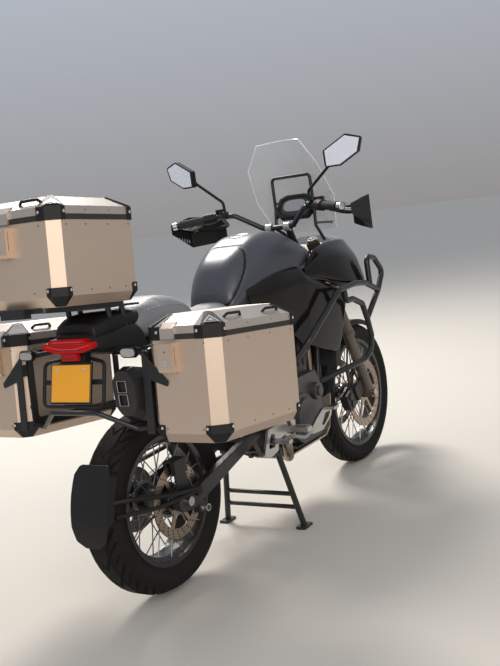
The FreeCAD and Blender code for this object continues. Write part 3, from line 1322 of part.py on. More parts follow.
def nodes():
    top = topcase()
    side = pannier()
    side_body_right = case_body(side, PANNIER_LATCH_Y)
    side_lid_right = case_lid(side, PANNIER_LATCH_Y)
    side_caps = lid_caps(side, True)
    return {
        "main_frame": main_frame(),
        "engine_cradle": engine_cradle(),
        "subframe": subframe(),
        "engine": engine(),
        "radiator": radiator(),
        "exhaust_pipes": exhaust_pipes(),
        "silencer": silencer(),
        "swingarm": swingarm(),
        "pivot_pin": pivot_pin(),
        "rear_axle": rear_axle(),
        "rear_shock": rear_shock(),
        "drive_chain": drive_chain(),
        "chain_guard": chain_guard(),
        "rear_caliper": rear_caliper(),
        "hugger": hugger(),
        "fuel_tank": fuel_tank(),
        "side_covers": side_covers(),
        "seat": seat(),
        "fairing": fairing(),
        "headlamp": headlamp(),
        "windscreen": windscreen(),
        "instrument_frame": instrument_frame(),
        "dash": dash(),
        "crash_bars": crash_bars(),
        "engine_guard": engine_guard(),
        "tail_cowl": tail_cowl(),
        "tail_lamp": tail_lamp(),
        "plate_holder": plate_holder(),
        "number_plate": number_plate(),
        "rear_indicators": rear_indicators(),
        "luggage_rack": luggage_rack(),
        "pannier_racks": pannier_racks(),
        "foot_controls": foot_controls(),
        "topcase_body": tilted(case_body(top, 0), topcase_corner()),
        "pannier_right_body": tilted(side_body_right, pannier_corner(-1)),
        "pannier_left_body": tilted(mirrored(side_body_right), pannier_corner(1)),
        "case_guards": case_guards(),
        "topcase_lid": tilted(case_lid(top, 0), topcase_corner()),
        "topcase_lid_caps": tilted(lid_caps(top, False), topcase_corner()),
        "pannier_right_lid": tilted(side_lid_right, pannier_corner(-1)),
        "pannier_right_lid_caps": tilted(side_caps, pannier_corner(-1)),
        "pannier_left_lid": tilted(mirrored(side_lid_right), pannier_corner(1)),
        "pannier_left_lid_caps": tilted(side_caps, pannier_corner(1)),
        "fork": fork(),
        "front_axle": front_axle(),
        "handlebar": handlebar(),
        "hand_controls": hand_controls(),
        "handguards": handguards(),
        "mirrors": mirrors(),
        "front_mudguard": front_mudguard(),
        "front_calipers": front_calipers(),
        "front_tyre": tyre(FRONT_AXLE, FRONT_TYRE_R, FRONT_TYRE_WIDTH, FRONT_BEAD_R, FRONT_RIM_WIDTH),
        "front_rim": front_wheel(),
        "front_discs": front_discs(),
        "rear_tyre": tyre(REAR_AXLE, REAR_TYRE_R, REAR_TYRE_WIDTH, REAR_BEAD_R, REAR_RIM_WIDTH),
        "rear_rim": rear_wheel(),
        "rear_disc": rear_disc(),
        "rear_sprocket": rear_sprocket(),
        "centre_stand": centre_stand(),
        "side_stand": side_stand(),
    }


os.makedirs("parts", exist_ok=True)
for name, shape in nodes().items():
    moved(shape, V(-MIDDLE_X, 0, 0)).exportStep("parts/" + name + ".step")
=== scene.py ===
import json
import math

import bmesh
import bpy
import numpy as np
from mathutils import Matrix, Vector


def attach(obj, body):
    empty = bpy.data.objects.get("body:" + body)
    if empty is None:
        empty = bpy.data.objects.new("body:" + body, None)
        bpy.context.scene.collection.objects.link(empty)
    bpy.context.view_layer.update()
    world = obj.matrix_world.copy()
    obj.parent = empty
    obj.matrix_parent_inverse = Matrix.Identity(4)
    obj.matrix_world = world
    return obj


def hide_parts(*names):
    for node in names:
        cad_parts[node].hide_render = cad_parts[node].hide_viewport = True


# An adventure motorcycle with three aluminium cases, seen from behind on its right.
# Metres. X runs forward, Y to the rider's left and Z up from the ground.

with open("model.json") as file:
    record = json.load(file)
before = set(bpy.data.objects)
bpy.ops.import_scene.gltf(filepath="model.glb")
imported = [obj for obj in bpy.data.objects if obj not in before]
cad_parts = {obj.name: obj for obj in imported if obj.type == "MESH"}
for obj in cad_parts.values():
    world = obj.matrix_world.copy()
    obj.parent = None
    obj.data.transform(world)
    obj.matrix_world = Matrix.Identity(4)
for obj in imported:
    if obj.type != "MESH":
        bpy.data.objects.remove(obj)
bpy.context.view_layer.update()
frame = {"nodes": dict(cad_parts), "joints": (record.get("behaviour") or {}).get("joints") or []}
nodes = frame["nodes"]
joints = {joint["name"]: joint for joint in frame["joints"]}
REAR_AXLE = np.array(joints["rear_wheel_spin"]["pos_m"])
FRONT_AXLE = np.array(joints["front_wheel_spin"]["pos_m"])


# The view: a hand-held camera behind the machine on its right, a little above the cases and
# rolled by eight degrees, which is how the horizon lies in the photograph.

CAMERA_PLACE = (-3.1355, -2.1077, 1.3336)
CAMERA_YAW = 33.40
CAMERA_PITCH = -8.30
CAMERA_ROLL = -8.15
CAMERA_LENS = 51.9


def camera_turn(yaw, pitch, roll):
    """The camera's axes: forward from yaw and pitch, then right and up turned about it by the roll."""
    yaw, pitch, roll = (math.radians(angle) for angle in (yaw, pitch, roll))
    forward = Vector((math.cos(yaw) * math.cos(pitch), math.sin(yaw) * math.cos(pitch), math.sin(pitch)))
    level = forward.cross(Vector((0, 0, 1))).normalized()
    upright = level.cross(forward)
    right = math.cos(roll) * level + math.sin(roll) * upright
    up = math.cos(roll) * upright - math.sin(roll) * level
    return Matrix((right, up, -forward)).transposed().to_4x4()


camera_data = bpy.data.cameras.new("camera")
camera_data.lens = CAMERA_LENS
camera_data.sensor_fit = "AUTO"
camera_data.sensor_width = 36
camera = bpy.data.objects.new("camera", camera_data)
camera.matrix_world = Matrix.Translation(CAMERA_PLACE) @ camera_turn(CAMERA_YAW, CAMERA_PITCH, CAMERA_ROLL)
bpy.context.scene.collection.objects.link(camera)
bpy.context.scene.camera = camera


# The light: a broad high lamp ahead on the left, as the sun stands in the photograph, a wider and
# weaker one behind on the right for the shaded side, and a pale sky with a warm lower half.

SUN_PLACE = Vector((2.6, 3.2, 5.2))
FILL_PLACE = Vector((-4.7, -4.2, 3.0))
AIM = Vector((0.0, 0.0, 0.7))
SKY_STOPS = ((0.42, (0.36, 0.31, 0.26, 1)), (0.62, (0.74, 0.8, 0.9, 1)))
SKY_STRENGTH = 0.62


def soft_lamp(name, place, size, power, colour):
    """A square lamp that looks at the machine's middle."""
    data = bpy.data.lights.new(name, "AREA")
    data.size = size
    data.energy = power
    data.color = colour
    lamp = bpy.data.objects.new(name, data)
    turn = (AIM - place).to_track_quat("-Z", "Y").to_matrix().to_4x4()
    lamp.matrix_world = Matrix.Translation(place) @ turn
    bpy.context.scene.collection.objects.link(lamp)


soft_lamp("key", SUN_PLACE, 2.2, 420, (1.0, 0.96, 0.9))
soft_lamp("fill", FILL_PLACE, 4.0, 190, (1.0, 0.92, 0.82))

sky = bpy.data.worlds.new("studio")
sky.use_nodes = True
sky_nodes = sky.node_tree.nodes
sky_links = sky.node_tree.links
sky_way = sky_nodes.new("ShaderNodeTexCoord")
sky_split = sky_nodes.new("ShaderNodeSeparateXYZ")
sky_ramp = sky_nodes.new("ShaderNodeValToRGB")
for stop, (position, colour) in zip(sky_ramp.color_ramp.elements, SKY_STOPS):
    stop.position = position
    stop.color = colour
sky_shift = sky_nodes.new("ShaderNodeMath")
sky_shift.operation = "MULTIPLY_ADD"
sky_shift.inputs[1].default_value = 0.5
sky_shift.inputs[2].default_value = 0.5
sky_links.new(sky_way.outputs["Generated"], sky_split.inputs[0])
sky_links.new(sky_split.outputs["Z"], sky_shift.inputs[0])
sky_links.new(sky_shift.outputs[0], sky_ramp.inputs[0])
sky_links.new(sky_ramp.outputs["Color"], sky_nodes["Background"].inputs["Color"])
sky_nodes["Background"].inputs["Strength"].default_value = SKY_STRENGTH
bpy.context.scene.world = sky
bpy.context.scene.view_settings.view_transform = "Standard"


# Shared finishes: every material is a plain shader with fine grain, a slow change of tone and the
# pale dust that has settled on whatever faces up. The groups put out colours, normals and masks.

GRAIN_HEIGHT = 0.0006
DUST_COLOUR = (0.42, 0.34, 0.25, 1)


def group(name, inputs, outputs):
    """A node group with named sockets, its inner nodes still to be placed."""
    tree = bpy.data.node_groups.new(name, "ShaderNodeTree")
    for socket, kind, value in inputs:
        made = tree.interface.new_socket(name=socket, in_out="INPUT", socket_type=kind)
        made.default_value = value
    for socket, kind in outputs:
        tree.interface.new_socket(name=socket, in_out="OUTPUT", socket_type=kind)
    return tree, tree.nodes.new("NodeGroupInput"), tree.nodes.new("NodeGroupOutput")


def node(tree, kind, inputs=None, **settings):
    """A shader node with its settings, and each input either linked from a socket or given a value."""
    made = tree.nodes.new("ShaderNode" + kind)
    for setting, value in settings.items():
        setattr(made, setting, value)
    for socket, value in (inputs or {}).items():
        if isinstance(value, bpy.types.NodeSocket):
            tree.links.new(value, made.inputs[socket])
        else:
            made.inputs[socket].default_value = value
    return made


def grain_group():
    """Fine bumps from noise: the grain of cast metal, powder coat, moulded plastic or vinyl."""
    tree, given, out = group("grain", [("Scale", "NodeSocketFloat", 900.0),
                                       ("Depth", "NodeSocketFloat", 0.2)],
                             [("Normal", "NodeSocketVector")])
    where = node(tree, "TexCoord")
    noise = node(tree, "TexNoise", {"Vector": where.outputs["Object"],
                                    "Scale": given.outputs["Scale"], "Detail": 3})
    bump = node(tree, "Bump", {"Strength": given.outputs["Depth"], "Height": noise.outputs["Fac"],
                               "Distance": GRAIN_HEIGHT})
    tree.links.new(bump.outputs["Normal"], out.inputs["Normal"])
    return tree


def weather_group():
    """A colour that drifts between two tones, with dust where the surface faces up."""
    tones = [(name, "NodeSocketColor", (0.5, 0.5, 0.5, 1)) for name in ("Colour", "Second")]
    shares = [("Patch scale", "NodeSocketFloat", 6.0), ("Dust", "NodeSocketFloat", 0.2)]
    tree, given, out = group("weather", tones + shares, [("Colour", "NodeSocketColor")])
    where = node(tree, "TexCoord")
    drift = node(tree, "TexNoise", {"Vector": where.outputs["Object"],
                                    "Scale": given.outputs["Patch scale"], "Detail": 4})
    drifted = node(tree, "Mix", {0: drift.outputs["Fac"], 6: given.outputs["Colour"],
                                 7: given.outputs["Second"]}, data_type="RGBA")
    speck = node(tree, "TexNoise", {"Vector": where.outputs["Object"], "Scale": 45, "Detail": 5})
    facing = node(tree, "NewGeometry")
    split = node(tree, "SeparateXYZ", {0: facing.outputs["Normal"]})
    up = node(tree, "MapRange", {"Value": split.outputs["Z"], "From Min": 0.2, "From Max": 1.0})
    patchy = node(tree, "Math", {0: up.outputs["Result"], 1: speck.outputs["Fac"]}, operation="MULTIPLY")
    amount = node(tree, "Math", {0: patchy.outputs[0], 1: given.outputs["Dust"]}, operation="MULTIPLY",
                  use_clamp=True)
    dusty = node(tree, "Mix", {0: amount.outputs[0], 6: drifted.outputs[2], 7: DUST_COLOUR},
                 data_type="RGBA")
    tree.links.new(dusty.outputs[2], out.inputs["Colour"])
    return tree


GRAIN = grain_group()
WEATHER = weather_group()


def finish(name, colour, second=None, patch=6.0, dust=0.15, grain=900.0, depth=0.15, rough=0.5, metal=0.0,
           **sockets):
    """A material from the shader with weather on its colour and grain on its normal.

    Without a second tone the colour drifts to 1.35 times itself. Further sockets of the shader, such as
    Coat Weight, are set by name with underscores for spaces.
    """
    made = bpy.data.materials.new(name)
    made.use_nodes = True
    tree = made.node_tree
    shader = tree.nodes["Principled BSDF"]
    shader.inputs["Roughness"].default_value = rough
    shader.inputs["Metallic"].default_value = metal
    for socket, value in sockets.items():
        shader.inputs[socket.replace("_", " ")].default_value = value
    second = second or tuple(c * 1.35 + 0.004 for c in colour)
    weather = node(tree, "Group", {"Colour": (*colour, 1), "Second": (*second, 1), "Patch scale": patch,
                                   "Dust": dust}, node_tree=WEATHER, name="weather")
    grained = node(tree, "Group", {"Scale": grain, "Depth": depth}, node_tree=GRAIN, name="grain")
    tree.links.new(weather.outputs["Colour"], shader.inputs["Base Color"])
    tree.links.new(grained.outputs["Normal"], shader.inputs["Normal"])
    return made


def dress(material, *names):
    """Gives CAD nodes a material."""
    for name in names:
        nodes[name].data.materials.clear()
        nodes[name].data.materials.append(material)


# The frame, its racks and guards: steel tube in satin black powder coat, welded up and bolted
# together, with stands and handlebar in the same finish.

powder_coat = finish("powder_coat", (0.009, 0.009, 0.01), dust=0.05, grain=700, depth=0.12, rough=0.34)
dress(powder_coat, "main_frame", "engine_cradle", "subframe", "crash_bars", "pannier_racks", "luggage_rack",
      "instrument_frame", "handlebar", "centre_stand", "side_stand", "swingarm")


# The engine and radiator: cast alloy that has darkened unevenly, and a black core between two
# end tanks.

cast_alloy = finish("cast_alloy", (0.09, 0.09, 0.095), second=(0.15, 0.145, 0.14), dust=0.25, grain=450,
                    depth=0.45, rough=0.5, metal=0.7)
dress(cast_alloy, "engine")
radiator_black = finish("radiator_black", (0.015, 0.015, 0.016), dust=0.3, rough=0.6)
dress(radiator_black, "radiator")


# The exhaust: stainless pipes that have browned with heat on their way back under the engine, and
# a satin black silencer.

heated_steel = finish("heated_steel", (0.36, 0.28, 0.2), second=(0.22, 0.18, 0.16), dust=0.2,
                      rough=0.35, metal=1.0)
dress(heated_steel, "exhaust_pipes")
silencer_black = finish("silencer_black", (0.009, 0.009, 0.01), dust=0.04, grain=1200, depth=0.1, rough=0.3)
dress(silencer_black, "silencer")


# Brakes, axles and drive: turned steel, ground discs that have browned, black calipers and an
# oily chain over its sprocket.

turned_steel = finish("turned_steel", (0.55, 0.54, 0.52), second=(0.42, 0.41, 0.4), dust=0.1,
                      rough=0.3, metal=1.0)
dress(turned_steel, "pivot_pin", "rear_axle", "front_axle", "foot_controls", "rear_shock")
disc_steel = finish("disc_steel", (0.3, 0.22, 0.17), second=(0.42, 0.34, 0.28), patch=20,
                    dust=0.05, rough=0.32, metal=1.0)
dress(disc_steel, "front_discs", "rear_disc")
chain_steel = finish("chain_steel", (0.2, 0.18, 0.16), dust=0.2, rough=0.45, metal=0.9)
dress(chain_steel, "drive_chain", "rear_sprocket")
caliper_black = finish("caliper_black", (0.02, 0.02, 0.02), rough=0.4, metal=0.3)
dress(caliper_black, "front_calipers", "rear_caliper")


# The wheels: black rims laced with steel spokes to black hubs. The tyres are one piece of rubber
# each, with smooth side walls and broad low blocks parted by V-shaped grooves.

def place(x, y, z):
    """Millimetres ahead of the rear axle, to the left and above the ground, as metres in the frame."""
    x, y, z = np.broadcast_arrays(np.asarray(x, float), y, z)
    return np.stack([REAR_AXLE[0] + x * 0.001, y * 0.001, z * 0.001], axis=-1)


def grid_faces(rows, columns, wrap_rows=False, wrap_columns=True):
    """Quads between neighbouring places of a grid, which may close on itself either way."""
    i, j = np.meshgrid(np.arange(rows if wrap_rows else rows - 1),
                       np.arange(columns if wrap_columns else columns - 1), indexing="ij")
    up = (i + 1) % rows
    on = (j + 1) % columns
    quads = np.stack([i * columns + j, i * columns + on, up * columns + on, up * columns + j], axis=-1)
    return quads.reshape(-1, 4)


def piece(name, points, faces, material, body, slot, crease=35):
    """A closed mesh from arrays of points and faces, merged at its poles, which rides on a body."""
    mesh = bpy.data.meshes.new(name)
    corners = np.asarray(points, float).reshape(-1, 3).tolist()
    mesh.from_pydata(corners, [], [list(map(int, face)) for face in faces])
    work = bmesh.new()
    work.from_mesh(mesh)
    bmesh.ops.remove_doubles(work, verts=work.verts, dist=1e-6)
    bmesh.ops.recalc_face_normals(work, faces=work.faces)
    work.to_mesh(mesh)
    work.free()
    mesh.shade_smooth()
    mesh.set_sharp_from_angle(angle=math.radians(crease))
    mesh.materials.append(material)
    made = bpy.data.objects.new(name, mesh)
    bpy.context.scene.collection.objects.link(made)
    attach(made, body)
    return made


TREAD_DEPTH = 0.0055
TREAD_PITCHES = 21
COLUMNS_PER_PITCH = 30
TREAD_LEAN = 2.6
CROWN_SHARE = 0.24
SHOULDER_SHARE = 0.42
RING_SHARE = 0.225
RING_DEPTH = 0.7
WALL_STEPS = 76
SHOULDER_DROP = 0.12
LINER = 0.009
TYRE_SIZES = (("front", FRONT_AXLE, (0.329, 0.110, 0.2413, 0.076)),
              ("rear", REAR_AXLE, (0.321, 0.150, 0.2159, 0.108)))


def wall_profile(radius, width, bead, seat):
    """The tyre's wall as (across, radius): corners joined evenly by length, then averaged to round them."""
    flange = bead + 0.013
    half = [(seat, bead), (seat, flange), (width / 2, (flange + radius) / 2),
            (width * 0.43, radius - width * SHOULDER_DROP), (width * 0.2, radius)]
    corners = np.array(half + [(-y, r) for y, r in half[::-1]])
    lengths = np.concatenate([[0], np.cumsum(np.linalg.norm(np.diff(corners, axis=0), axis=1))])
    steps = np.linspace(0, lengths[-1], WALL_STEPS)
    smooth = np.stack([np.interp(steps, lengths, side) for side in corners.T], axis=1)
    for _ in range(3):
        smooth[1:-1] = (smooth[:-2] + 2 * smooth[1:-1] + smooth[2:]) / 4
    return smooth


def tyre_surface(axle, radius, width, bead, rim_width):
    """The wall turned about the axle, with the grooves pressed in along the wall's own normal.

    A groove runs where pitches turn + lean |across| comes near a whole number, so each is a V. On the
    shoulders a second row lies half a pitch on, and a narrow ring parts the shoulders from the crown. The
    raised line above the bead is 1.1 mm exp(-(gap / 2.2 mm)^2), and a liner closes the tyre on the inside.
    """
    seat = rim_width / 2
    outer = wall_profile(radius, width, bead, seat)
    slope = np.gradient(outer, axis=0)
    normal = np.stack([slope[:, 1], -slope[:, 0]], axis=1)
    normal /= np.linalg.norm(normal, axis=1, keepdims=True)
    normal *= np.sign(normal @ np.array([0, 1]) + 1e-9)[:, None]
    turn = np.linspace(0, 1, TREAD_PITCHES * COLUMNS_PER_PITCH, endpoint=False)[:, None]
    across = np.abs(outer[:, 0])[None] / width
    phase = TREAD_PITCHES * turn + TREAD_LEAN * across
    nearest = np.abs(phase - np.round(phase))
    second = np.abs(phase + 0.5 - np.round(phase + 0.5))
    v_groove = np.clip((0.07 - nearest) / 0.03, 0, 1) * (across < SHOULDER_SHARE)
    shoulder = np.clip((0.05 - second) / 0.03, 0, 1) * (across > CROWN_SHARE) * (across < SHOULDER_SHARE)
    ring = np.clip((0.022 - np.abs(across - RING_SHARE)) / 0.01, 0, 1)
    crown = np.clip((outer[:, 1] - (radius - width * 0.2)) / (width * 0.06), 0, 1)[None]
    pressed = TREAD_DEPTH * crown * np.maximum(np.maximum(v_groove, shoulder), ring * RING_DEPTH)
    rib = 0.0011 * np.exp(-((outer[:, 1] - bead - 0.026) / 0.0022) ** 2)[None]
    moved = outer[None] + normal[None] * (rib - pressed)[..., None]
    roof = radius - width * SHOULDER_DROP - LINER
    inner = np.array([(-seat + LINER, bead), (-width * 0.36, roof), (width * 0.36, roof),
                      (seat - LINER, bead)])
    loop = np.concatenate([moved, np.broadcast_to(inner, (len(turn), 4, 2))], axis=1)
    angle = 2 * np.pi * turn
    points = np.stack([axle[0] + loop[..., 1] * np.cos(angle), axle[1] + loop[..., 0],
                       axle[2] + loop[..., 1] * np.sin(angle)], axis=-1)
    return points, grid_faces(points.shape[0], points.shape[1], True, True)


tyre_rubber = finish("tyre_rubber", (0.006, 0.0056, 0.0056), second=(0.011, 0.01, 0.0095),
                     dust=0.05, grain=500, depth=0.25, rough=0.7, Specular_IOR_Level=0.2)
for end, axle, sizes in TYRE_SIZES:
    tread = piece(f"{end}_tread", *tyre_surface(axle, *sizes), tyre_rubber, f"{end}_wheel",
                  "tyre_rubber", 28)
    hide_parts(f"{end}_tyre")


def reach_group():
    """How far a place lies from an axle that runs along Y: the length of its X and Z from the centre."""
    tree, given, out = group("reach", [("Centre", "NodeSocketVector", (0, 0, 0))],
                             [("Reach", "NodeSocketFloat")])
    where = node(tree, "TexCoord")
    offset = node(tree, "VectorMath", {0: where.outputs["Object"], 1: given.outputs["Centre"]},
                  operation="SUBTRACT")
    flat = node(tree, "VectorMath", {0: offset.outputs[0], 1: (1, 0, 1)}, operation="MULTIPLY")
    length = node(tree, "VectorMath", {0: flat.outputs[0]}, operation="LENGTH")
    tree.links.new(length.outputs["Value"], out.inputs["Reach"])
    return tree


REACH = reach_group()


def masked(tree, mask, colour, rough=None, metal=None):
    """Lays a second colour, with a roughness and metalness if given, over a finish where a mask is one."""
    shader = tree.nodes["Principled BSDF"]
    below = shader.inputs["Base Color"].links[0].from_socket
    lay = node(tree, "Mix", {0: mask, 6: below, 7: (*colour, 1)}, data_type="RGBA")
    tree.links.new(lay.outputs[2], shader.inputs["Base Color"])
    for socket, value in (("Roughness", rough), ("Metallic", metal)):
        if value is not None:
            change = node(tree, "MapRange", {"Value": mask, "To Min": shader.inputs[socket].default_value,
                                             "To Max": value})
            tree.links.new(change.outputs["Result"], shader.inputs[socket])


def wheel_finish(name, axle, hub_r, rim_r):
    """Gloss black, and grey steel where the spokes run between the hub and the rim."""
    made = finish(name, (0.012, 0.012, 0.013), dust=0.2, rough=0.25)
    tree = made.node_tree
    reach = node(tree, "Group", {"Centre": tuple(axle)}, node_tree=REACH)
    past_hub = node(tree, "Math", {0: reach.outputs["Reach"], 1: hub_r}, operation="GREATER_THAN")
    short_of_rim = node(tree, "Math", {0: reach.outputs["Reach"], 1: rim_r}, operation="LESS_THAN")
    both = node(tree, "Math", {0: past_hub.outputs[0], 1: short_of_rim.outputs[0]}, operation="MULTIPLY")
    masked(tree, both.outputs[0], (0.3, 0.3, 0.31), 0.35, 1.0)
    return made


dress(wheel_finish("front_wheel_finish", FRONT_AXLE, 0.036, 0.2203), "front_rim")
dress(wheel_finish("rear_wheel_finish", REAR_AXLE, 0.052, 0.1953), "rear_rim")


# The fork: legs and yokes in one anodised grey-brown, with the stanchions that slide in them; its
# bright caps stand with the controls.

fork_finish = finish("fork_finish", (0.12, 0.1, 0.085), dust=0.1, rough=0.35, metal=0.7)
dress(fork_finish, "fork")


# Tank, fairing and other panels: a tall tank in dark grey metal paint, with a dark seam where its
# rear cover meets the front one and a pressed line behind it, a turned filler cap, gloss black panels
# on both sides and moulded black everywhere else. Each is lofted through the sections of its solid.

def curved(controls, steps):
    """Curves through control rows, with from p1 to p2 the smooth cubic that p0 and p3 steer.

    It is (2 p1 + t (p2 - p0) + tt (2 p0 - 5 p1 + 4 p2 - p3) + ttt (3 p1 - p0 - 3 p2 + p3)) / 2.
    """
    controls = np.asarray(controls, float)
    padded = np.concatenate([2 * controls[:1] - controls[1:2], controls,
                             2 * controls[-1:] - controls[-2:-1]])
    t = np.linspace(0, 1, steps, endpoint=False).reshape((1, steps) + (1,) * (controls.ndim - 1))
    p0, p1, p2, p3 = (padded[i:i + len(controls) - 1][:, None] for i in range(4))
    runs = 0.5 * (2 * p1 + t * (p2 - p0) + t ** 2 * (2 * p0 - 5 * p1 + 4 * p2 - p3)
                  + t ** 3 * (3 * p1 - p0 - 3 * p2 + p3))
    return np.concatenate([runs.reshape((-1,) + controls.shape[1:]), controls[-1:]])


def rounded_loop(corners, reach, steps=7):
    """A closed section with corners (1-t)(1-t) a + 2t(1-t) corner + tt b, where a and b are reach away."""
    corners = np.asarray(corners, float)
    back = np.roll(corners, 1, axis=0) - corners
    on = np.roll(corners, -1, axis=0) - corners
    a = corners + back * np.minimum(0.5, reach / np.linalg.norm(back, axis=1, keepdims=True))
    b = corners + on * np.minimum(0.5, reach / np.linalg.norm(on, axis=1, keepdims=True))
    t = np.linspace(0, 1, steps)[None, :, None]
    curve = (1 - t) ** 2 * a[:, None] + 2 * t * (1 - t) * corners[:, None] + t ** 2 * b[:, None]
    return curve.reshape(-1, 2)


def whole(rows):
    """Rows of whole sections, from rows that give the corners of their left halves."""
    return [(x, list(half) + [(-y, z) for y, z in reversed(half)]) for x, half in rows]


def pressed_form(rows, reach, edge, steps=10, seams=()):
    """A closed form in millimetres through sections along X, its ends rounded and its seams pressed in.

    At d from an end, less than edge, the section is drawn in by edge - root(edge^2 - (edge - d)^2). A seam
    (start, lean, width, depth) lies where x = start + lean z, and sinks by depth exp(-(gap / width)^2).
    """
    rows = sorted(rows, key=lambda row: row[0])
    x = curved([row[0] for row in rows], steps)
    rings = curved([rounded_loop(row[1], reach) for row in rows], steps)
    cuts = edge * (1 - np.cos(np.linspace(0, np.pi / 2, 5)))
    stations = np.unique(np.concatenate([x, x[0] + cuts, x[-1] - cuts]).round(4))
    at = np.interp(stations, x, np.arange(len(x)))
    low = np.minimum(at.astype(int), len(x) - 2)
    share = (at - low)[:, None, None]
    rings = rings[low] * (1 - share) + rings[low + 1] * share
    inward = rings.mean(axis=1, keepdims=True) - rings
    inward /= np.linalg.norm(inward, axis=2, keepdims=True)
    gap = np.minimum(stations - stations[0], stations[-1] - stations).clip(0, edge)
    sink = np.broadcast_to((edge - np.sqrt(edge ** 2 - (edge - gap) ** 2))[:, None], rings.shape[:2]).copy()
    for start, lean, width, depth in seams:
        sink += depth * np.exp(-((stations[:, None] - start - lean * rings[..., 1]) / width) ** 2)
    rings = rings + inward * sink[..., None]
    across = np.broadcast_to(stations[:, None], rings.shape[:2])
    count = rings.shape[1]
    faces = grid_faces(len(stations), count).tolist()
    faces += [list(range(count)), list(range((len(stations) - 1) * count, len(stations) * count))]
    return place(across, rings[..., 0], rings[..., 1]), faces


def together(*forms):
    """Several forms as one array of points and one list of faces."""
    points = []
    faces = []
    for form_points, form_faces in forms:
        start = sum(len(made) for made in points)
        points.append(np.asarray(form_points).reshape(-1, 3))
        faces += [[corner + start for corner in face] for face in form_faces]
    return np.concatenate(points), faces


def turned_piece(centre, axis, profile, sides=32):
    """A turned piece from (along, radius) in mm: centre + along axis + radius (cos a u + sin a v)."""
    axis = np.asarray(axis, float)
    axis /= np.linalg.norm(axis)
    helper = np.array([0, 0, 1.0]) if abs(axis[2]) < 0.9 else np.array([1.0, 0, 0])
    u = np.cross(helper, axis)
    u /= np.linalg.norm(u)
    v = np.cross(axis, u)
    profile = np.asarray(profile, float) * 0.001
    turn = np.linspace(0, 2 * np.pi, sides, endpoint=False)[None, :, None]
    points = (np.asarray(centre) + axis * profile[:, None, :1]
              + profile[:, None, 1:] * (u * np.cos(turn) + v * np.sin(turn)))
    return points, grid_faces(len(profile), sides)


def slab(corners, thickness):
    """A flat plate: a polygon's corners and the same corners moved by the thickness."""
    corners = np.asarray(corners, float)
    count = len(corners)
    points = np.concatenate([corners, corners + thickness])
    faces = [list(range(count)), list(range(count, 2 * count))]
    faces += [[i, (i + 1) % count, (i + 1) % count + count, i + count] for i in range(count)]
    return points, faces


def other_side(form):
    """The same form on the machine's other side."""
    points, faces = form
    return np.asarray(points) * (1, -1, 1), faces


def seam_group():
    """One where a place lies near the leaning plane x = start + lean z, and nought elsewhere."""
    tree, given, out = group("seam", [("Start", "NodeSocketFloat", 0.0), ("Lean", "NodeSocketFloat", 0.0),
                                      ("Width", "NodeSocketFloat", 0.003)], [("Mask", "NodeSocketFloat")])
    where = node(tree, "TexCoord")
    split = node(tree, "SeparateXYZ", {0: where.outputs["Object"]})
    plane = node(tree, "Math", {0: split.outputs["Z"], 1: given.outputs["Lean"], 2: given.outputs["Start"]},
                 operation="MULTIPLY_ADD")
    gap = node(tree, "Math", {0: split.outputs["X"], 1: plane.outputs[0]}, operation="SUBTRACT")
    size = node(tree, "Math", {0: gap.outputs[0]}, operation="ABSOLUTE")
    near = node(tree, "Math", {0: size.outputs[0], 1: given.outputs["Width"]}, operation="LESS_THAN")
    tree.links.new(near.outputs[0], out.inputs["Mask"])
    return tree


TANK_WIDEN = 1.012
TANK_LIFT = 4
TANK_ROWS = [(486, [(50, 892), (96, 908), (88, 950), (50, 980)]),
             (545, [(68, 886), (120, 928), (114, 1010), (64, 1066)]),
             (620, [(80, 882), (142, 946), (138, 1052), (78, 1116)]),
             (720, [(90, 880), (164, 968), (158, 1086), (88, 1156)]),
             (820, [(95, 880), (178, 985), (170, 1094), (94, 1166)]),
             (910, [(92, 932), (182, 1002), (170, 1088), (88, 1154)]),
             (985, [(84, 962), (174, 1010), (162, 1074), (80, 1118)]),
             (1038, [(66, 996), (150, 1024), (142, 1062), (70, 1090)])]
COVER_SEAM = (-256.0, 0.8, 4.5, 4.5)
PRESSED_LINE = (-340.0, 0.8, 1.8, 1.3)
tank_grey = finish("tank_grey", (0.075, 0.079, 0.094), second=(0.09, 0.094, 0.11), dust=0.02, grain=1500,
                   depth=0.04, rough=0.36, metal=0.45)
seam_inputs = {"Start": REAR_AXLE[0] + COVER_SEAM[0] * 0.001, "Lean": COVER_SEAM[1],
               "Width": COVER_SEAM[2] * 0.001}
seam = node(tank_grey.node_tree, "Group", seam_inputs, node_tree=seam_group())
masked(tank_grey.node_tree, seam.outputs["Mask"], (0.012, 0.012, 0.014))
tank_corners = [(x, [(y * TANK_WIDEN, z + TANK_LIFT if i else z) for i, (y, z) in enumerate(half)])
                for x, half in TANK_ROWS]
tank_form = pressed_form(whole(tank_corners), 36, 18, 40, (COVER_SEAM, PRESSED_LINE))
tank = piece("tank_shell", *tank_form, tank_grey, "chassis", "tank_grey", 50)
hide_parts("fuel_tank")
CAP_PROFILE = [(0, 0), (0, 46), (5, 46), (9, 43), (11, 34), (9.5, 30), (9.5, 0)]
filler_steel = finish("filler_steel", (0.2, 0.2, 0.2), dust=0.05, grain=1200, depth=0.15,
                      rough=0.35, metal=0.9)
piece("filler_cap", *turned_piece(place(762, 0, 1158), (-0.1, 0, 1), CAP_PROFILE, 40),
      filler_steel, "chassis", "steel", 25)

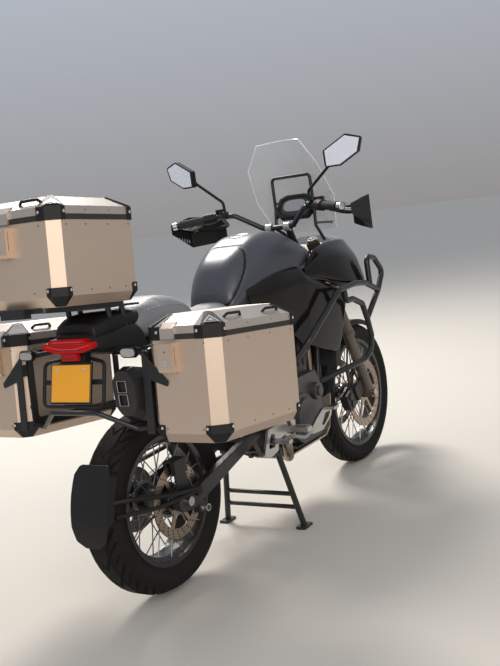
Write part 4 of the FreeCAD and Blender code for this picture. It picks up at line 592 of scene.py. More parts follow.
panel_black = finish("panel_black", (0.006, 0.006, 0.007), second=(0.012, 0.01, 0.009),
                     dust=0.01, grain=1500, depth=0.02, rough=0.1, Specular_IOR_Level=0.28)
COVER_ROWS = ((560, 972, 128, 945, 136, 884, 130), (700, 1006, 170, 942, 178, 800, 168),
              (850, 1016, 186, 972, 202, 704, 190), (904, 990, 188, 956, 208, 678, 196),
              (1000, 946, 200, 900, 210, 644, 200), (1106, 890, 206, 850, 210, 636, 200),
              (1204, 858, 206, 836, 208, 812, 205))
COVER_THICK = 4
cover_sections = []
for x, top, top_y, crease, crease_y, low, low_y in COVER_ROWS:
    outer = [(-top_y, top), (-crease_y, crease), (-low_y, low)]
    cover_sections.append((x, outer + [(COVER_THICK + y, z) for y, z in outer[::-1]]))
cover = pressed_form(cover_sections, 24, 1.6, 10)
covers = piece("side_cover_skins", *together(cover, other_side(cover)), panel_black, "chassis",
               "panel_black", 40)
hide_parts("side_covers")
FAIRING_ROWS = [(905, [(-185, 950), (-198, 950), (-198, 1004), (-185, 1004)]),
                (1000, [(-184, 934), (-222, 936), (-216, 1040), (-184, 1075)]),
                (1150, [(-182, 884), (-246, 890), (-226, 1036), (-182, 1092)]),
                (1290, [(-178, 852), (-244, 862), (-214, 1010), (-172, 1086)]),
                (1400, [(-140, 862), (-214, 872), (-180, 990), (-120, 1060)]),
                (1490, [(-60, 892), (-120, 900), (-110, 960), (-50, 1000)])]
NOSE_ROWS = [(1410, [(118, 880), (140, 900), (120, 985), (80, 1000)]),
             (1500, [(70, 890), (100, 905), (90, 960), (60, 975)]),
             (1640, [(20, 902), (40, 908), (36, 930), (16, 938)])]
cheek = pressed_form(FAIRING_ROWS, 26, 6, 10)
nose = pressed_form(whole(NOSE_ROWS), 16, 6, 12)
skins = piece("fairing_skins", *together(cheek, other_side(cheek), nose), panel_black, "chassis",
              "panel_black", 40)
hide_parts("fairing")
moulded_black = finish("moulded_black", (0.006, 0.006, 0.0065), dust=0.035, grain=800,
                       depth=0.3, rough=0.52, Specular_IOR_Level=0.28)
TAIL_ROWS = [(240, [(118, 838), (140, 848), (140, 868), (120, 878)]),
             (0, [(100, 862), (132, 874), (130, 893), (92, 900)]),
             (-60, [(92, 872), (126, 884), (118, 898), (60, 905)]),
             (-74, [(92, 872), (125, 884), (110, 955), (60, 985)]),
             (-200, [(85, 892), (112, 908), (96, 965), (60, 990)]),
             (-282, [(60, 912), (80, 922), (74, 958), (50, 972)])]
tail = piece("tail_skin", *pressed_form(whole(TAIL_ROWS), 14, 5, 10), moulded_black, "chassis",
             "plastic_black", 45)
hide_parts("tail_cowl")
dress(moulded_black, "chain_guard", "hugger", "plate_holder", "rear_indicators", "dash",
      "case_guards", "hand_controls", "handguards", "front_mudguard", "mirrors", "topcase_lid_caps",
      "pannier_right_lid_caps", "pannier_left_lid_caps")


# The tail's top: a low moulded hump over the tail's end, and the flat coated shelf above it that
# carries the top case's rack.

HUMP_ROWS = [(-20, [(62, 960), (80, 975), (76, 1000), (44, 1008)]),
             (-90, [(80, 960), (98, 975), (94, 1008), (62, 1016)]),
             (-190, [(84, 950), (104, 965), (96, 1012), (60, 1022)]),
             (-262, [(66, 944), (84, 954), (78, 992), (48, 1004)])]
SHELF = [(-40, -96, 1024), (-40, 96, 1024), (-280, 112, 1047), (-312, 70, 1050), (-312, -70, 1050),
         (-280, -112, 1047)]
SHELF_THICK = 0.007
piece("tail_hump", *pressed_form(whole(HUMP_ROWS), 20, 8, 10), moulded_black, "chassis",
      "plastic_black", 45)
piece("rack_shelf", *slab(place(*np.array(SHELF, float).T), (0, 0, SHELF_THICK)), powder_coat, "chassis",
      "frame_black")


# The seat: a padded vinyl cover over foam, low for the rider and raised for the passenger, with a
# welt sewn along each side where the top panel meets the side ones.

def swept(path, profile, up, closed=False):
    """A profile carried along a path: place + side p + rise q, with side = way x up and rise = side x way.

    At each corner the profile is widened by one over the cosine of half the turn, so that it is mitred.
    """
    path = np.asarray(path, float)
    profile = np.asarray(profile, float)
    ahead = np.roll(path, -1, axis=0) - path
    behind = path - np.roll(path, 1, axis=0)
    if not closed:
        ahead[-1] = behind[-1]
        behind[0] = ahead[0]
    ahead /= np.linalg.norm(ahead, axis=1, keepdims=True)
    behind /= np.linalg.norm(behind, axis=1, keepdims=True)
    way = ahead + behind
    way /= np.linalg.norm(way, axis=1, keepdims=True)
    widen = 1 / np.clip(np.sum(way * ahead, axis=1), 0.6, 1)
    up = np.broadcast_to(np.asarray(up, float), path.shape)
    side = np.cross(way, up)
    side /= np.linalg.norm(side, axis=1, keepdims=True)
    rise = np.cross(side, way)
    points = (path[:, None] + side[:, None] * (profile[None, :, :1] * widen[:, None, None])
              + rise[:, None] * profile[None, :, 1:])
    count = len(profile)
    faces = grid_faces(len(path), count, closed, True).tolist()
    if not closed:
        faces += [list(range(count)), list(range((len(path) - 1) * count, len(path) * count))]
    return points, faces


def round_section(radius, sides=10):
    """A circle as a profile."""
    turn = np.linspace(0, 2 * np.pi, sides, endpoint=False)
    return np.stack([radius * np.cos(turn), radius * np.sin(turn)], axis=1)


SEAT_ROWS = [(484, [(86, 874), (102, 884), (88, 928), (48, 950)]),
             (450, [(96, 874), (118, 884), (110, 914), (66, 934)]),
             (330, [(120, 874), (146, 888), (136, 914), (90, 926)]),
             (235, [(120, 880), (146, 896), (134, 930), (95, 950)]),
             (190, [(115, 885), (138, 910), (122, 976), (85, 998)]),
             (110, [(105, 892), (130, 916), (114, 1000), (72, 1028)]),
             (0, [(95, 902), (118, 926), (102, 1000), (60, 1020)]),
             (-56, [(70, 908), (88, 930), (76, 984), (44, 1000)])]
SEAT_VOXEL = 0.006
SEAT_PRESSURE = 4.0
SEAT_RISE = 0.007
SEAT_FRAMES = 20
SEAT_BASE_TOP = 0.898
WELT_RADIUS = 0.0016
# Painted sheen: this grey is lighter than the dark vinyl's own and partly stands in for the sun's sheen on
# the cover.
seat_vinyl = finish("seat_vinyl", (0.17, 0.178, 0.192), second=(0.22, 0.228, 0.24), dust=0.06, grain=1100,
                    depth=0.4, rough=0.42, Sheen_Weight=0.2)
seat = piece("seat_pad", *pressed_form(whole(SEAT_ROWS), 40, 16, 8), seat_vinyl, "chassis",
             "seat_vinyl", 180)
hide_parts("seat")


def settled(made):
    """A piece's mesh with its modifiers worked out, which then leave it."""
    graph = bpy.context.evaluated_depsgraph_get()
    mesh = bpy.data.meshes.new_from_object(made.evaluated_get(graph), depsgraph=graph)
    made.modifiers.clear()
    made.data = mesh


def stuffed(made):
    """Foam under a cover: the remeshed pad swells as cloth, with its base held and its rise capped."""
    even = made.modifiers.new("even", "REMESH")
    even.mode = "VOXEL"
    even.voxel_size = SEAT_VOXEL
    settled(made)
    mesh = made.data
    before = np.empty(len(mesh.vertices) * 3)
    mesh.vertices.foreach_get("co", before)
    before = before.reshape(-1, 3)
    held = made.vertex_groups.new(name="base")
    held.add(np.flatnonzero(before[:, 2] < SEAT_BASE_TOP).tolist(), 1.0, "REPLACE")
    cloth = made.modifiers.new("cover", "CLOTH")
    cloth.settings.use_pressure = True
    cloth.settings.uniform_pressure_force = SEAT_PRESSURE
    cloth.settings.vertex_group_mass = "base"
    cloth.settings.effector_weights.gravity = 0
    cloth.point_cache.frame_end = SEAT_FRAMES
    for step in range(1, SEAT_FRAMES + 1):
        bpy.context.scene.frame_set(step)
    settled(made)
    after = np.empty_like(before)
    made.data.vertices.foreach_get("co", after.ravel())
    after = after.reshape(-1, 3)
    move = after - before
    far = np.linalg.norm(move, axis=1, keepdims=True)
    after = before + move * np.minimum(1, SEAT_RISE / np.maximum(far, 1e-9))
    made.data.vertices.foreach_set("co", after.ravel())
    made.vertex_groups.clear()
    bpy.context.scene.frame_set(1)


stuffed(seat)
seat.data.shade_smooth()
fine = seat.modifiers.new("fine", "SUBSURF")
fine.levels = 1
fine.render_levels = 1
for side, tag in ((-1, "right"), (1, "left")):
    line = curved([(x, side * half[2][0], half[2][1]) for x, half in SEAT_ROWS], 8)[4:-4]
    spots = [seat.closest_point_on_mesh(Vector(spot))[1] for spot in place(*line.T)]
    run = np.array([tuple(spot) for spot in spots])
    welt = swept(run, round_section(WELT_RADIUS, 8), (0, 0, 1))
    piece(f"seat_welt_{tag}", *welt, seat_vinyl, "chassis", "seat_vinyl")


# Screen, lamps and number plate: a clear moulded screen, a clear headlamp, a red tail lamp with
# lines of painted highlight along its ribs and lines of painted shade along its grooves, and a blank
# orange-yellow plate.

def clear_plastic(name, colour, alpha, rough=0.03):
    """See-through moulding: mostly alpha, with a gloss over it."""
    return finish(name, colour, second=colour, dust=0.0, depth=0.0, rough=rough, Alpha=alpha)


screen_clear = clear_plastic("screen_clear", (0.62, 0.66, 0.68), 0.22)
dress(screen_clear, "windscreen")
lamp_clear = clear_plastic("lamp_clear", (0.4, 0.43, 0.46), 0.55)
dress(lamp_clear, "headlamp")
lamp_red = finish("lamp_red", (0.55, 0.004, 0.006), second=(0.42, 0.003, 0.004), dust=0.0,
                  depth=0.0, rough=0.14, Specular_IOR_Level=0.2)
dress(lamp_red, "tail_lamp")
# Painted highlight: the bright red lines along the lens's ribs stand in for light caught on them.
lamp_glow = finish("lamp_glow", (0.75, 0.02, 0.012), second=(0.6, 0.01, 0.008), dust=0.0,
                   depth=0.0, rough=0.1, Coat_Weight=0.5)
# Painted shade: the dark red lines along the lens's grooves stand in for shade in them.
lamp_shade = finish("lamp_shade", (0.09, 0.002, 0.002), second=(0.07, 0.002, 0.002), dust=0.0,
                    depth=0.0, rough=0.15, Coat_Weight=0.5)
LENS_FACE = -302
LAMP_LINES = (("lamp_ribs", (((-62, 953.5), (62, 953.5)), ((-92, 942), (-30, 931)), ((92, 942), (30, 931)),
                             ((-30, 931), (30, 931))), 0.0022, lamp_glow),
              ("lamp_grooves", (((-74, 947), (74, 947)), ((-58, 925), (58, 925)), ((-32, 914), (32, 914)),
                                ((-32, 898), (32, 898))), 0.0015, lamp_shade))
for name, lines, radius, material in LAMP_LINES:
    runs = [swept(place(LENS_FACE, *np.array(line, float).T), round_section(radius, 8), (1, 0, 0))
            for line in lines]
    piece(name, *together(*runs), material, "chassis", "lamp_red")
plate_yellow = finish("plate_yellow", (0.9, 0.42, 0.02), second=(0.86, 0.37, 0.02), dust=0.03,
                      depth=0.02, rough=0.4)
dress(plate_yellow, "number_plate")


# The cases: folded and riveted aluminium sheet, blasted to a soft sheen, its colour tinted warm as a
# painted reflection of warm ground; a rubber seal under each lid, black corner plates, bright screws, a
# round lock on the latch and triangle reflectors stuck on the lids. Sizes are length, width, depth and
# slant; heights count from the lid's level.

# Painted reflection: the warm tan in both aluminium colours stands in for warm ground reflected in the
# metal.
case_aluminium = finish("case_aluminium", (0.58, 0.46, 0.365), second=(0.64, 0.52, 0.425),
                        patch=3.5, dust=0.05, grain=1600, depth=0.1, rough=0.47, metal=0.75)
lid_aluminium = finish("lid_aluminium", (0.52, 0.46, 0.415), second=(0.58, 0.52, 0.475),
                       patch=3.5, dust=0.03, grain=1600, depth=0.08, rough=0.46, metal=0.85)
dress(case_aluminium, "topcase_body", "pannier_right_body", "pannier_left_body", "engine_guard")
dress(lid_aluminium, "topcase_lid", "pannier_right_lid", "pannier_left_lid")
bright_screw = finish("bright_screw", (0.72, 0.71, 0.69), dust=0.05, grain=1500, depth=0.05,
                      rough=0.22, metal=1.0)
dark_rivet = finish("dark_rivet", (0.16, 0.14, 0.12), dust=0.1, rough=0.45, metal=0.8)
seal_rubber = finish("seal_rubber", (0.018, 0.015, 0.014), dust=0.15, grain=900, depth=0.2, rough=0.7)
reflector_grey = finish("reflector_grey", (0.34, 0.35, 0.34), second=(0.4, 0.41, 0.4), patch=60, dust=0.0,
                        grain=300, depth=0.3, rough=0.35)
reflector_dark = finish("reflector_dark", (0.008, 0.008, 0.009), dust=0.0, grain=300, depth=0.2, rough=0.5)

CASE_TILT = math.radians(6)
LID_INSET = 62.0
LID_TOP = 74.4
STRIP_TOP = 40
CORNER_THICK = 0.0022
HIGH_RIVETS = -13
LOW_RIVETS = 44
LID_RIVETS = 29
CAP_SCREWS = 24
GUARD_SCREWS = 47
LATCH_FACE = -26
TOP_SIZES = (367.0, 396.0, 247.0, 31.0)
PANNIER_SIZES = (485.0, 264.0, 310.0, 38.0)
CASES = (("topcase", (-475.26, 0.0, 1335.0), TOP_SIZES, "lid_top", 0.0, (-1, 1)),
         ("pannier_right", (-254.0, -396.0, 938.0), PANNIER_SIZES, "lid_right", 34.0, (-1,)),
         ("pannier_left", (-254.0, 396.0, 938.0), PANNIER_SIZES, "lid_left", -34.0, (1,)))
RIVET = ((0, 1.0), (0.5, 0.95), (0.85, 0.6), (1.0, 0))
SCREW = ((0, 1.0), (0.75, 1.0), (1.0, 0.86), (1.0, 0.5), (0.55, 0.45), (0.55, 0))
DISC = ((0, 1.0), (1.0, 1.0), (1.0, 0))
REFLECTOR_LAYERS = (("border", 24.0, 20.0, 0.0, 1.6, reflector_grey, "lamp_clear"),
                    ("line", 17.5, 18.8, 1.6, 0.4, reflector_dark, "plastic_black"),
                    ("field", 8.5, 17.0, 2.0, 0.4, reflector_grey, "lamp_clear"))


def case_place(corner, x, y, z):
    """Places of a case, from its lid-level rear edge: tilted nose-down and moved to its corner."""
    x, y, z = np.broadcast_arrays(np.asarray(x, float), y, z)
    return place(corner[0] + x * math.cos(CASE_TILT) + z * math.sin(CASE_TILT), corner[1] + y,
                 corner[2] - x * math.sin(CASE_TILT) + z * math.cos(CASE_TILT))


def case_way(x, y, z):
    """A direction on a case, tilted with it."""
    return np.array([x * math.cos(CASE_TILT) + z * math.sin(CASE_TILT), y,
                     -x * math.sin(CASE_TILT) + z * math.cos(CASE_TILT)])


def case_plan(sizes, inset):
    """A case seen from above: a rectangle with slanted corners, set in by an inset."""
    length, width, _, cut = sizes
    half = width / 2 - inset
    high = length - inset
    slant = max(cut - inset * (2 - math.sqrt(2)), 4)
    return np.array([(inset + slant, -half), (high - slant, -half), (high, -half + slant),
                     (high, half - slant), (high - slant, half), (inset + slant, half),
                     (inset, half - slant), (inset, -half + slant)])


def case_band(corner, sizes, rows):
    """A closed band round a case: its plan at each row's inset and height, joined row to row."""
    points = []
    for inset, height in rows:
        plan = case_plan(sizes, inset)
        points.append(case_place(corner, plan[:, 0], plan[:, 1], height))
    return np.array(points), grid_faces(len(rows), 8, True, True)


def bead(inset, height, radius):
    """Rows of a thin round bead for a case's band."""
    turn = np.linspace(0, 2 * np.pi, 6, endpoint=False)
    return [(inset + radius * math.cos(a), height + radius * math.sin(a)) for a in turn]


def turned_heads(spots, ways, radius, height, profile, sides=12):
    """Small turned heads: spot + height along way + radius (cos a u + sin a v), all at once."""
    spots = np.atleast_2d(spots)
    ways = np.broadcast_to(np.atleast_2d(ways), spots.shape).astype(float)
    ways = ways / np.linalg.norm(ways, axis=1, keepdims=True)
    helper = np.where(np.abs(ways[:, 2:3]) > 0.9, [[1.0, 0, 0]], [[0, 0, 1.0]])
    u = np.cross(helper, ways)
    u /= np.linalg.norm(u, axis=1, keepdims=True)
    v = np.cross(ways, u)
    profile = np.array([(0.0, 0.0)] + [(along, share) for share, along in profile[::-1]])
    turn = np.linspace(0, 2 * np.pi, sides, endpoint=False)
    round_way = (u[:, None, None] * np.cos(turn)[None, None, :, None]
                 + v[:, None, None] * np.sin(turn)[None, None, :, None])
    points = (spots[:, None, None] + ways[:, None, None] * (height * profile[:, 0])[None, :, None, None]
              + round_way * (radius * profile[:, 1])[None, :, None, None])
    faces = grid_faces(len(profile), sides)
    count = len(profile) * sides
    faces = (faces[None] + (np.arange(len(spots)) * count)[:, None, None]).reshape(-1, 4)
    return points, faces


def side_spots(corner, sizes, shares, height, side):
    """Places along a case's long side, as shares of its length, at one height."""
    length, width, _, _ = sizes
    return case_place(corner, np.array(shares) * length, side * (width / 2), height)


def rear_spots(corner, sizes, shares, height):
    """Places across a case's rear face, as shares of half its width, at one height."""
    return case_place(corner, 0.0, np.array(shares) * sizes[1] / 2, height)


for case, corner, sizes, lid, latch_y, marked in CASES:
    length, width, depth, cut = sizes
    half = width / 2
    low_row = LOW_RIVETS - depth
    piece(f"{case}_seal", *case_band(corner, sizes, [(-1.3, 1.0), (-1.3, 17.0), (0.4, 17.0), (0.4, 1.0)]),
          seal_rubber, lid, "plastic_black")
    piece(f"{case}_top_edge", *case_band(corner, sizes, bead(LID_INSET + 0.4, 73.2, 1.5)),
          lid_aluminium, lid, "case_aluminium", 60)
    piece(f"{case}_strip_edge", *case_band(corner, sizes, bead(0.3, STRIP_TOP, 1.0)), lid_aluminium, lid,
          "case_aluminium", 60)
    rivets = []
    ways = []
    for side in (-1, 1):
        for shares, height in (((0.14, 0.36, 0.62, 0.88), HIGH_RIVETS), ((0.36, 0.58, 0.78), low_row)):
            rivets.append(side_spots(corner, sizes, shares, height, side))
            ways.append(np.tile(case_way(0, side, 0), (len(shares), 1)))
    for shares, height in (((-0.7, 0.7), HIGH_RIVETS), ((-0.5, 0.5), low_row)):
        rivets.append(rear_spots(corner, sizes, shares, height))
        ways.append(np.tile(case_way(-1, 0, 0), (2, 1)))
    heads = turned_heads(np.concatenate(rivets), np.concatenate(ways), 0.0030, 0.0012, RIVET)
    piece(f"{case}_body_rivets", *heads, dark_rivet, "chassis", "case_aluminium")
    rivets = [side_spots(corner, sizes, (0.37, 0.65), LID_RIVETS, side) for side in (-1, 1)]
    ways = [np.tile(case_way(0, side, 0), (2, 1)) for side in (-1, 1)]
    heads = turned_heads(np.concatenate(rivets), np.concatenate(ways), 0.0026, 0.0012, RIVET)
    piece(f"{case}_lid_rivets", *heads, dark_rivet, lid, "case_aluminium")
    screws = []
    ways = []
    guard_screws = []
    guard_ways = []
    for side in (-1, 1):
        for x, face in ((cut + 8, -4), (length - cut - 8, length + 4)):
            screws.append(case_place(corner, x, side * (half + 4), CAP_SCREWS))
            ways.append(case_way(0, side, 0))
            screws.append(case_place(corner, face, side * (half - cut - 20), CAP_SCREWS))
            ways.append(case_way(-1 if face < 0 else 1, 0, 0))
        for x, face in ((cut + 11, -3), (length - cut - 11, length + 3)):
            guard_screws.append(case_place(corner, x, side * (half + 3), GUARD_SCREWS - depth))
            guard_ways.append(case_way(0, side, 0))
            guard_screws.append(case_place(corner, face, side * (half - cut - 11), GUARD_SCREWS - depth))
            guard_ways.append(case_way(-1 if face < 0 else 1, 0, 0))
    heads = turned_heads(screws, ways, 0.0048, 0.0026, SCREW)
    piece(f"{case}_cap_screws", *heads, bright_screw, lid, "steel")
    foot_plan = case_plan(sizes, 1.0)
    head_plan = case_plan(sizes, LID_INSET + 1)
    corner_plates = []
    for a, b in ((0, 7), (2, 1), (4, 3), (6, 5)):
        along = (foot_plan[b] - foot_plan[a]) / np.linalg.norm(foot_plan[b] - foot_plan[a])
        low_a, low_b = foot_plan[a] - along * 7, foot_plan[b] + along * 7
        top_a, top_b = head_plan[a] - along * 5, head_plan[b] + along * 5
        local = np.array([(*low_a, STRIP_TOP + 1), (*low_b, STRIP_TOP + 1), (*top_b, LID_TOP),
                          (*top_a, LID_TOP)])
        outward = np.cross(local[1] - local[0], local[3] - local[0])
        outward *= math.copysign(1 / np.linalg.norm(outward), outward[2])
        corner_plates.append(slab(case_place(corner, *local.T), case_way(*outward) * CORNER_THICK))
    piece(f"{case}_corner_plates", *together(*corner_plates), moulded_black, lid, "plastic_black")
    heads = turned_heads(guard_screws, guard_ways, 0.0045, 0.0024, SCREW)
    piece(f"{case}_guard_screws", *heads, bright_screw, "chassis", "steel")
    lock = case_place(corner, LATCH_FACE, latch_y, -68)
    piece(f"{case}_lock", *turned_heads(lock, case_way(-1, 0, 0), 0.0095, 0.0016, SCREW, 24), bright_screw,
          "chassis", "steel")
    # Painted shade: the dark disc on the lock stands in for the shade in its key slot.
    hole = turned_heads(lock + case_way(-0.0009, 0, 0), case_way(-1, 0, 0), 0.0046, 0.0004, DISC, 20)
    piece(f"{case}_keyhole_shade", *hole, reflector_dark, "chassis", "plastic_black")
    dot = case_place(corner, LATCH_FACE, latch_y, -34)
    piece(f"{case}_latch_pin", *turned_heads(dot, case_way(-1, 0, 0), 0.0035, 0.0008, RIVET),
          dark_rivet, "chassis", "case_aluminium")
    for side in marked:
        inward = np.array([1, -side, 0]) / math.sqrt(2)
        along = np.array([1, side, 0]) / math.sqrt(2)
        run = LID_INSET * math.sqrt(2) + 4 / math.sqrt(2) - cut / math.sqrt(2)
        climb = np.array([inward[0] * run, inward[1] * run, 34.0])
        climb /= np.linalg.norm(climb)
        out = np.cross(along, climb)
        out *= math.copysign(1.0, out[2])
        foot = np.array([cut / 2, side * (half - cut / 2), STRIP_TOP]) + out * 4.2
        tag = "right" if side < 0 else "left"
        for part, size, up, lift, thick, material, finish_slot in REFLECTOR_LAYERS:
            base = foot + climb * (up - size * 0.62)
            tip = foot + climb * (up + size)
            local = np.array([base - along * size, base + along * size, tip]) + out * lift
            plate = slab(case_place(corner, *local.T), case_way(*out) * thick * 0.001)
            piece(f"{case}_reflector_{tag}_{part}", *plate, material, lid, finish_slot)


# Controls: a black bar in bright clamps, ribbed rubber grips with alloy ends, alloy backbones and
# flat bars under the hand guards, six-sided mirrors whose glass is painted pale blue as a painted
# reflection of the sky, a red switch and bright caps on the fork legs.

def eased(corners, bend, steps=6):
    """A path through corners, each rounded by (1-t)(1-t) a + 2t(1-t) corner + tt b between tangents."""
    corners = np.asarray(corners, float)
    path = [corners[0]]
    t = np.linspace(0, 1, steps)[:, None]
    for before, at, after in zip(corners, corners[1:], corners[2:]):
        back = (before - at) / np.linalg.norm(before - at)
        on = (after - at) / np.linalg.norm(after - at)
        room = min(bend, 0.45 * np.linalg.norm(before - at), 0.45 * np.linalg.norm(after - at))
        a = at + back * room
        b = at + on * room
        path += list((1 - t) ** 2 * a + 2 * t * (1 - t) * at + t ** 2 * b)
    path.append(corners[-1])
    return np.array(path)


grip_rubber = finish("grip_rubber", (0.013, 0.013, 0.014), dust=0.1, grain=700, depth=0.4, rough=0.75)
alloy = finish("alloy", (0.66, 0.65, 0.63), second=(0.56, 0.55, 0.53), dust=0.08, grain=1200,
               depth=0.1, rough=0.3, metal=1.0)
# Painted reflection: the pale blue glass colour stands in for the sky reflected in the mirrors.
mirror_glass = finish("mirror_glass", (0.84, 0.89, 1.0), second=(0.8, 0.86, 0.98), dust=0.0,
                      depth=0.0, rough=0.06, metal=0.2)
switch_red = finish("switch_red", (0.5, 0.02, 0.015), dust=0.05, rough=0.4)

GRIP_INNER = np.array([978.0, -245.0, 1244.0])
GRIP_END = np.array([884.0, -391.0, 1231.0])
GRIP_WAY = (GRIP_INNER - GRIP_END) / np.linalg.norm(GRIP_INNER - GRIP_END)
RIBS = [(8, 0), (8, 17.4)]
RIBS += [(12 + 3.5 * i + (1.0 if i % 2 else 0), 17.6 if i % 4 < 2 else 16.5) for i in range(30)]
RIBS += [(117, 17.4), (117, 0)]
BAR_END = [(0, 0), (0, 11), (2, 15), (20, 15.8), (21, 0)]
BAR_END_OUT = 0.023
CLAMP = [(0, 0), (0, 18), (1.5, 19.7), (26.5, 19.7), (28, 18), (28, 0)]
FORK_CAP = [(0, 0), (0, 22.6), (5, 22.6), (7, 20), (7, 13), (5, 12), (5, 9), (10, 9), (10, 0)]
FLAT_BAR = np.array([(-0.0025, -0.010), (0.0025, -0.010), (0.0025, 0.010), (-0.0025, 0.010)])
BACKBONE_RADIUS = 0.0088
LEG_LEAN = math.radians(25.5)
LEG_RUN = 846
WHEELBASE = 1525
FRONT_AXLE_HEIGHT = 329
MIRROR_CENTRE = np.array([958.0, -392.0, 1441.0])
MIRROR_ALONG = np.array([0, -80, 44])
MIRROR_ACROSS = np.array([0, 26, 38])
MIRROR_CORNERS = ((-1.0, -0.35), (-0.45, -1.0), (0.55, -1.0), (1.05, -0.1), (0.6, 0.95), (-0.6, 0.95))
MIRROR_TURN = math.radians(13.5)
MIRROR_THICK = 0.0008
for side, tag in ((1, "right"), (-1, "left")):
    flip = np.array([1, side, 1])
    grip_end = place(*(GRIP_END * flip))
    way = GRIP_WAY * flip
    piece(f"grip_{tag}", *turned_piece(grip_end, way, RIBS, 28), grip_rubber, "steering", "plastic_black")
    bar_end = turned_piece(grip_end - way * BAR_END_OUT, way, BAR_END)
    piece(f"bar_end_{tag}", *bar_end, alloy, "steering", "steel")
    guard = np.array([GRIP_END - GRIP_WAY * 14, (948, -428, 1222), (1050, -433, 1200),
                      (1090, -404, 1195)]) * flip
    backbone = swept(place(*eased(guard, 30).T), round_section(BACKBONE_RADIUS, 12), (0, 0, 1))
    piece(f"guard_backbone_{tag}", *backbone, alloy, "steering", "steel")
    flat = np.array([(1000, -250, 1252), (1017, -350, 1229), (1030, -420, 1196)]) * flip
    flat_bar = swept(place(*eased(flat, 30).T), FLAT_BAR, (0, 0, 1))
    piece(f"guard_bar_{tag}", *flat_bar, alloy, "steering", "steel")
    piece(f"bar_clamp_{tag}", *turned_piece(place(1068, -side * 45 - 14, 1166), (0, 1, 0), CLAMP), alloy,
          "steering", "steel")
    leg_way = (-math.sin(LEG_LEAN), 0, math.cos(LEG_LEAN))
    leg_top = place(WHEELBASE - LEG_RUN * math.sin(LEG_LEAN), -side * 100,
                    FRONT_AXLE_HEIGHT + LEG_RUN * math.cos(LEG_LEAN))
    piece(f"fork_cap_{tag}", *turned_piece(leg_top, leg_way, FORK_CAP, 24), alloy, "steering", "steel")
    hexagon = np.array([MIRROR_CENTRE + MIRROR_ALONG * along * 0.9 + MIRROR_ACROSS * across * 0.88
                        for along, across in MIRROR_CORNERS])
    out = hexagon - MIRROR_CENTRE + (-0.8, 0, 0)
    glass = np.stack([out[:, 0] * math.cos(MIRROR_TURN) - out[:, 1] * math.sin(MIRROR_TURN),
                      out[:, 0] * math.sin(MIRROR_TURN) + out[:, 1] * math.cos(MIRROR_TURN),
                      out[:, 2]], axis=1)
    glass += MIRROR_CENTRE
    face = np.array([math.cos(MIRROR_TURN), math.sin(MIRROR_TURN) * side, 0]) * MIRROR_THICK
    piece(f"mirror_glass_{tag}", *slab(place(*(glass * flip).T), face), mirror_glass, "steering",
          "mirror_glass")
switch = place(*(GRIP_END + GRIP_WAY * 138 + np.array([-21, 0, 9])))
piece("stop_switch", *turned_heads(switch, (-0.8, 0.2, 0.5), 0.0055, 0.004, RIVET, 14),
      switch_red, "steering", "plastic_black")


# The instruments: a rounded black case with a pale display behind a smooth dark window and a row
# of four rubber buttons below it.

display_pale = finish("display_pale", (0.26, 0.26, 0.3), second=(0.32, 0.32, 0.35), patch=30,
                      dust=0.0, depth=0.0, rough=0.15, Coat_Weight=0.7)
display_dark = finish("display_dark", (0.02, 0.022, 0.024), dust=0.0, depth=0.0, rough=0.12)
DASH_LEAN = math.radians(32)


def dash_place(y, z, depth):
    """Places on the instrument panel's face, leaning back from the rider by its angle."""
    y, z = np.broadcast_arrays(np.asarray(y, float), z)
    x = np.full_like(y, depth)
    return place(1222 + x * math.cos(DASH_LEAN) + z * math.sin(DASH_LEAN), y,
                 1246 - x * math.sin(DASH_LEAN) + z * math.cos(DASH_LEAN))


def pillow(half_across, half_up, power, count):
    """A rounded rectangle: across = half sign(cos a) |cos a|^power, and up the same with the sine."""
    turn = np.linspace(0, 2 * np.pi, count, endpoint=False)
    return (half_across * np.sign(np.cos(turn)) * np.abs(np.cos(turn)) ** power,
            half_up * np.sign(np.sin(turn)) * np.abs(np.sin(turn)) ** power)


for name, half_y, half_z, low, high, material in (("window", 66, 38, -2, 2.4, display_dark),
                                                  ("display", 54, 28, 3, 1.9, display_pale)):
    y, z = pillow(half_y, half_z, 0.7, 48)
    face_way = (dash_place(0, 0, 1) - dash_place(0, 0, 0)) * 0.5
    piece(f"dash_{name}", *slab(dash_place(y, low + z, high), face_way), material, "chassis",
          "plastic_black")
button_way = dash_place(0, 0, -1) - dash_place(0, 0, 0)
for i, y in enumerate((-30, -10, 10, 30)):
    button = turned_heads(dash_place(y, -41, 2.6), button_way, 0.0035, 0.002, RIVET)
    piece(f"dash_button_{i}", *button, grip_rubber, "chassis", "plastic_black")


# The headlamp's two round lenses: turned bright rims on its clear face, one to each side of the
# middle.

LENS_RIM = [(0, 0), (0, 27), (5, 27), (6.5, 25), (5, 22), (2.5, 20), (1.2, 0)]
for side, tag in ((-1, "right"), (1, "left")):
    rim = turned_piece(place(1477, side * 36, 1034), (1, 0, 0), LENS_RIM, 36)
    piece(f"headlamp_rim_{tag}", *rim, alloy, "chassis", "steel")


# The tail: a dark border and two screws on the blank plate, and pale lenses on the two
# indicators.

plate_frame = finish("plate_frame", (0.03, 0.028, 0.026), dust=0.1, rough=0.4)
clear_lens = finish("clear_lens", (0.3, 0.3, 0.29), second=(0.42, 0.41, 0.39), patch=80,
                    dust=0.0, grain=400, depth=0.5, rough=0.16, Coat_Weight=0.6)
PLATE_LEAN = 0.28
INDICATOR_ACROSS = 216
INDICATOR_HEIGHT = 908.5


def plate_place(y, down, out):
    """Places on the number plate: across, down its face from the top edge, and out from its back."""
    y, down = np.broadcast_arrays(np.asarray(y, float), down)
    return place(-296 - down * PLATE_LEAN - out, y, 882 - down)


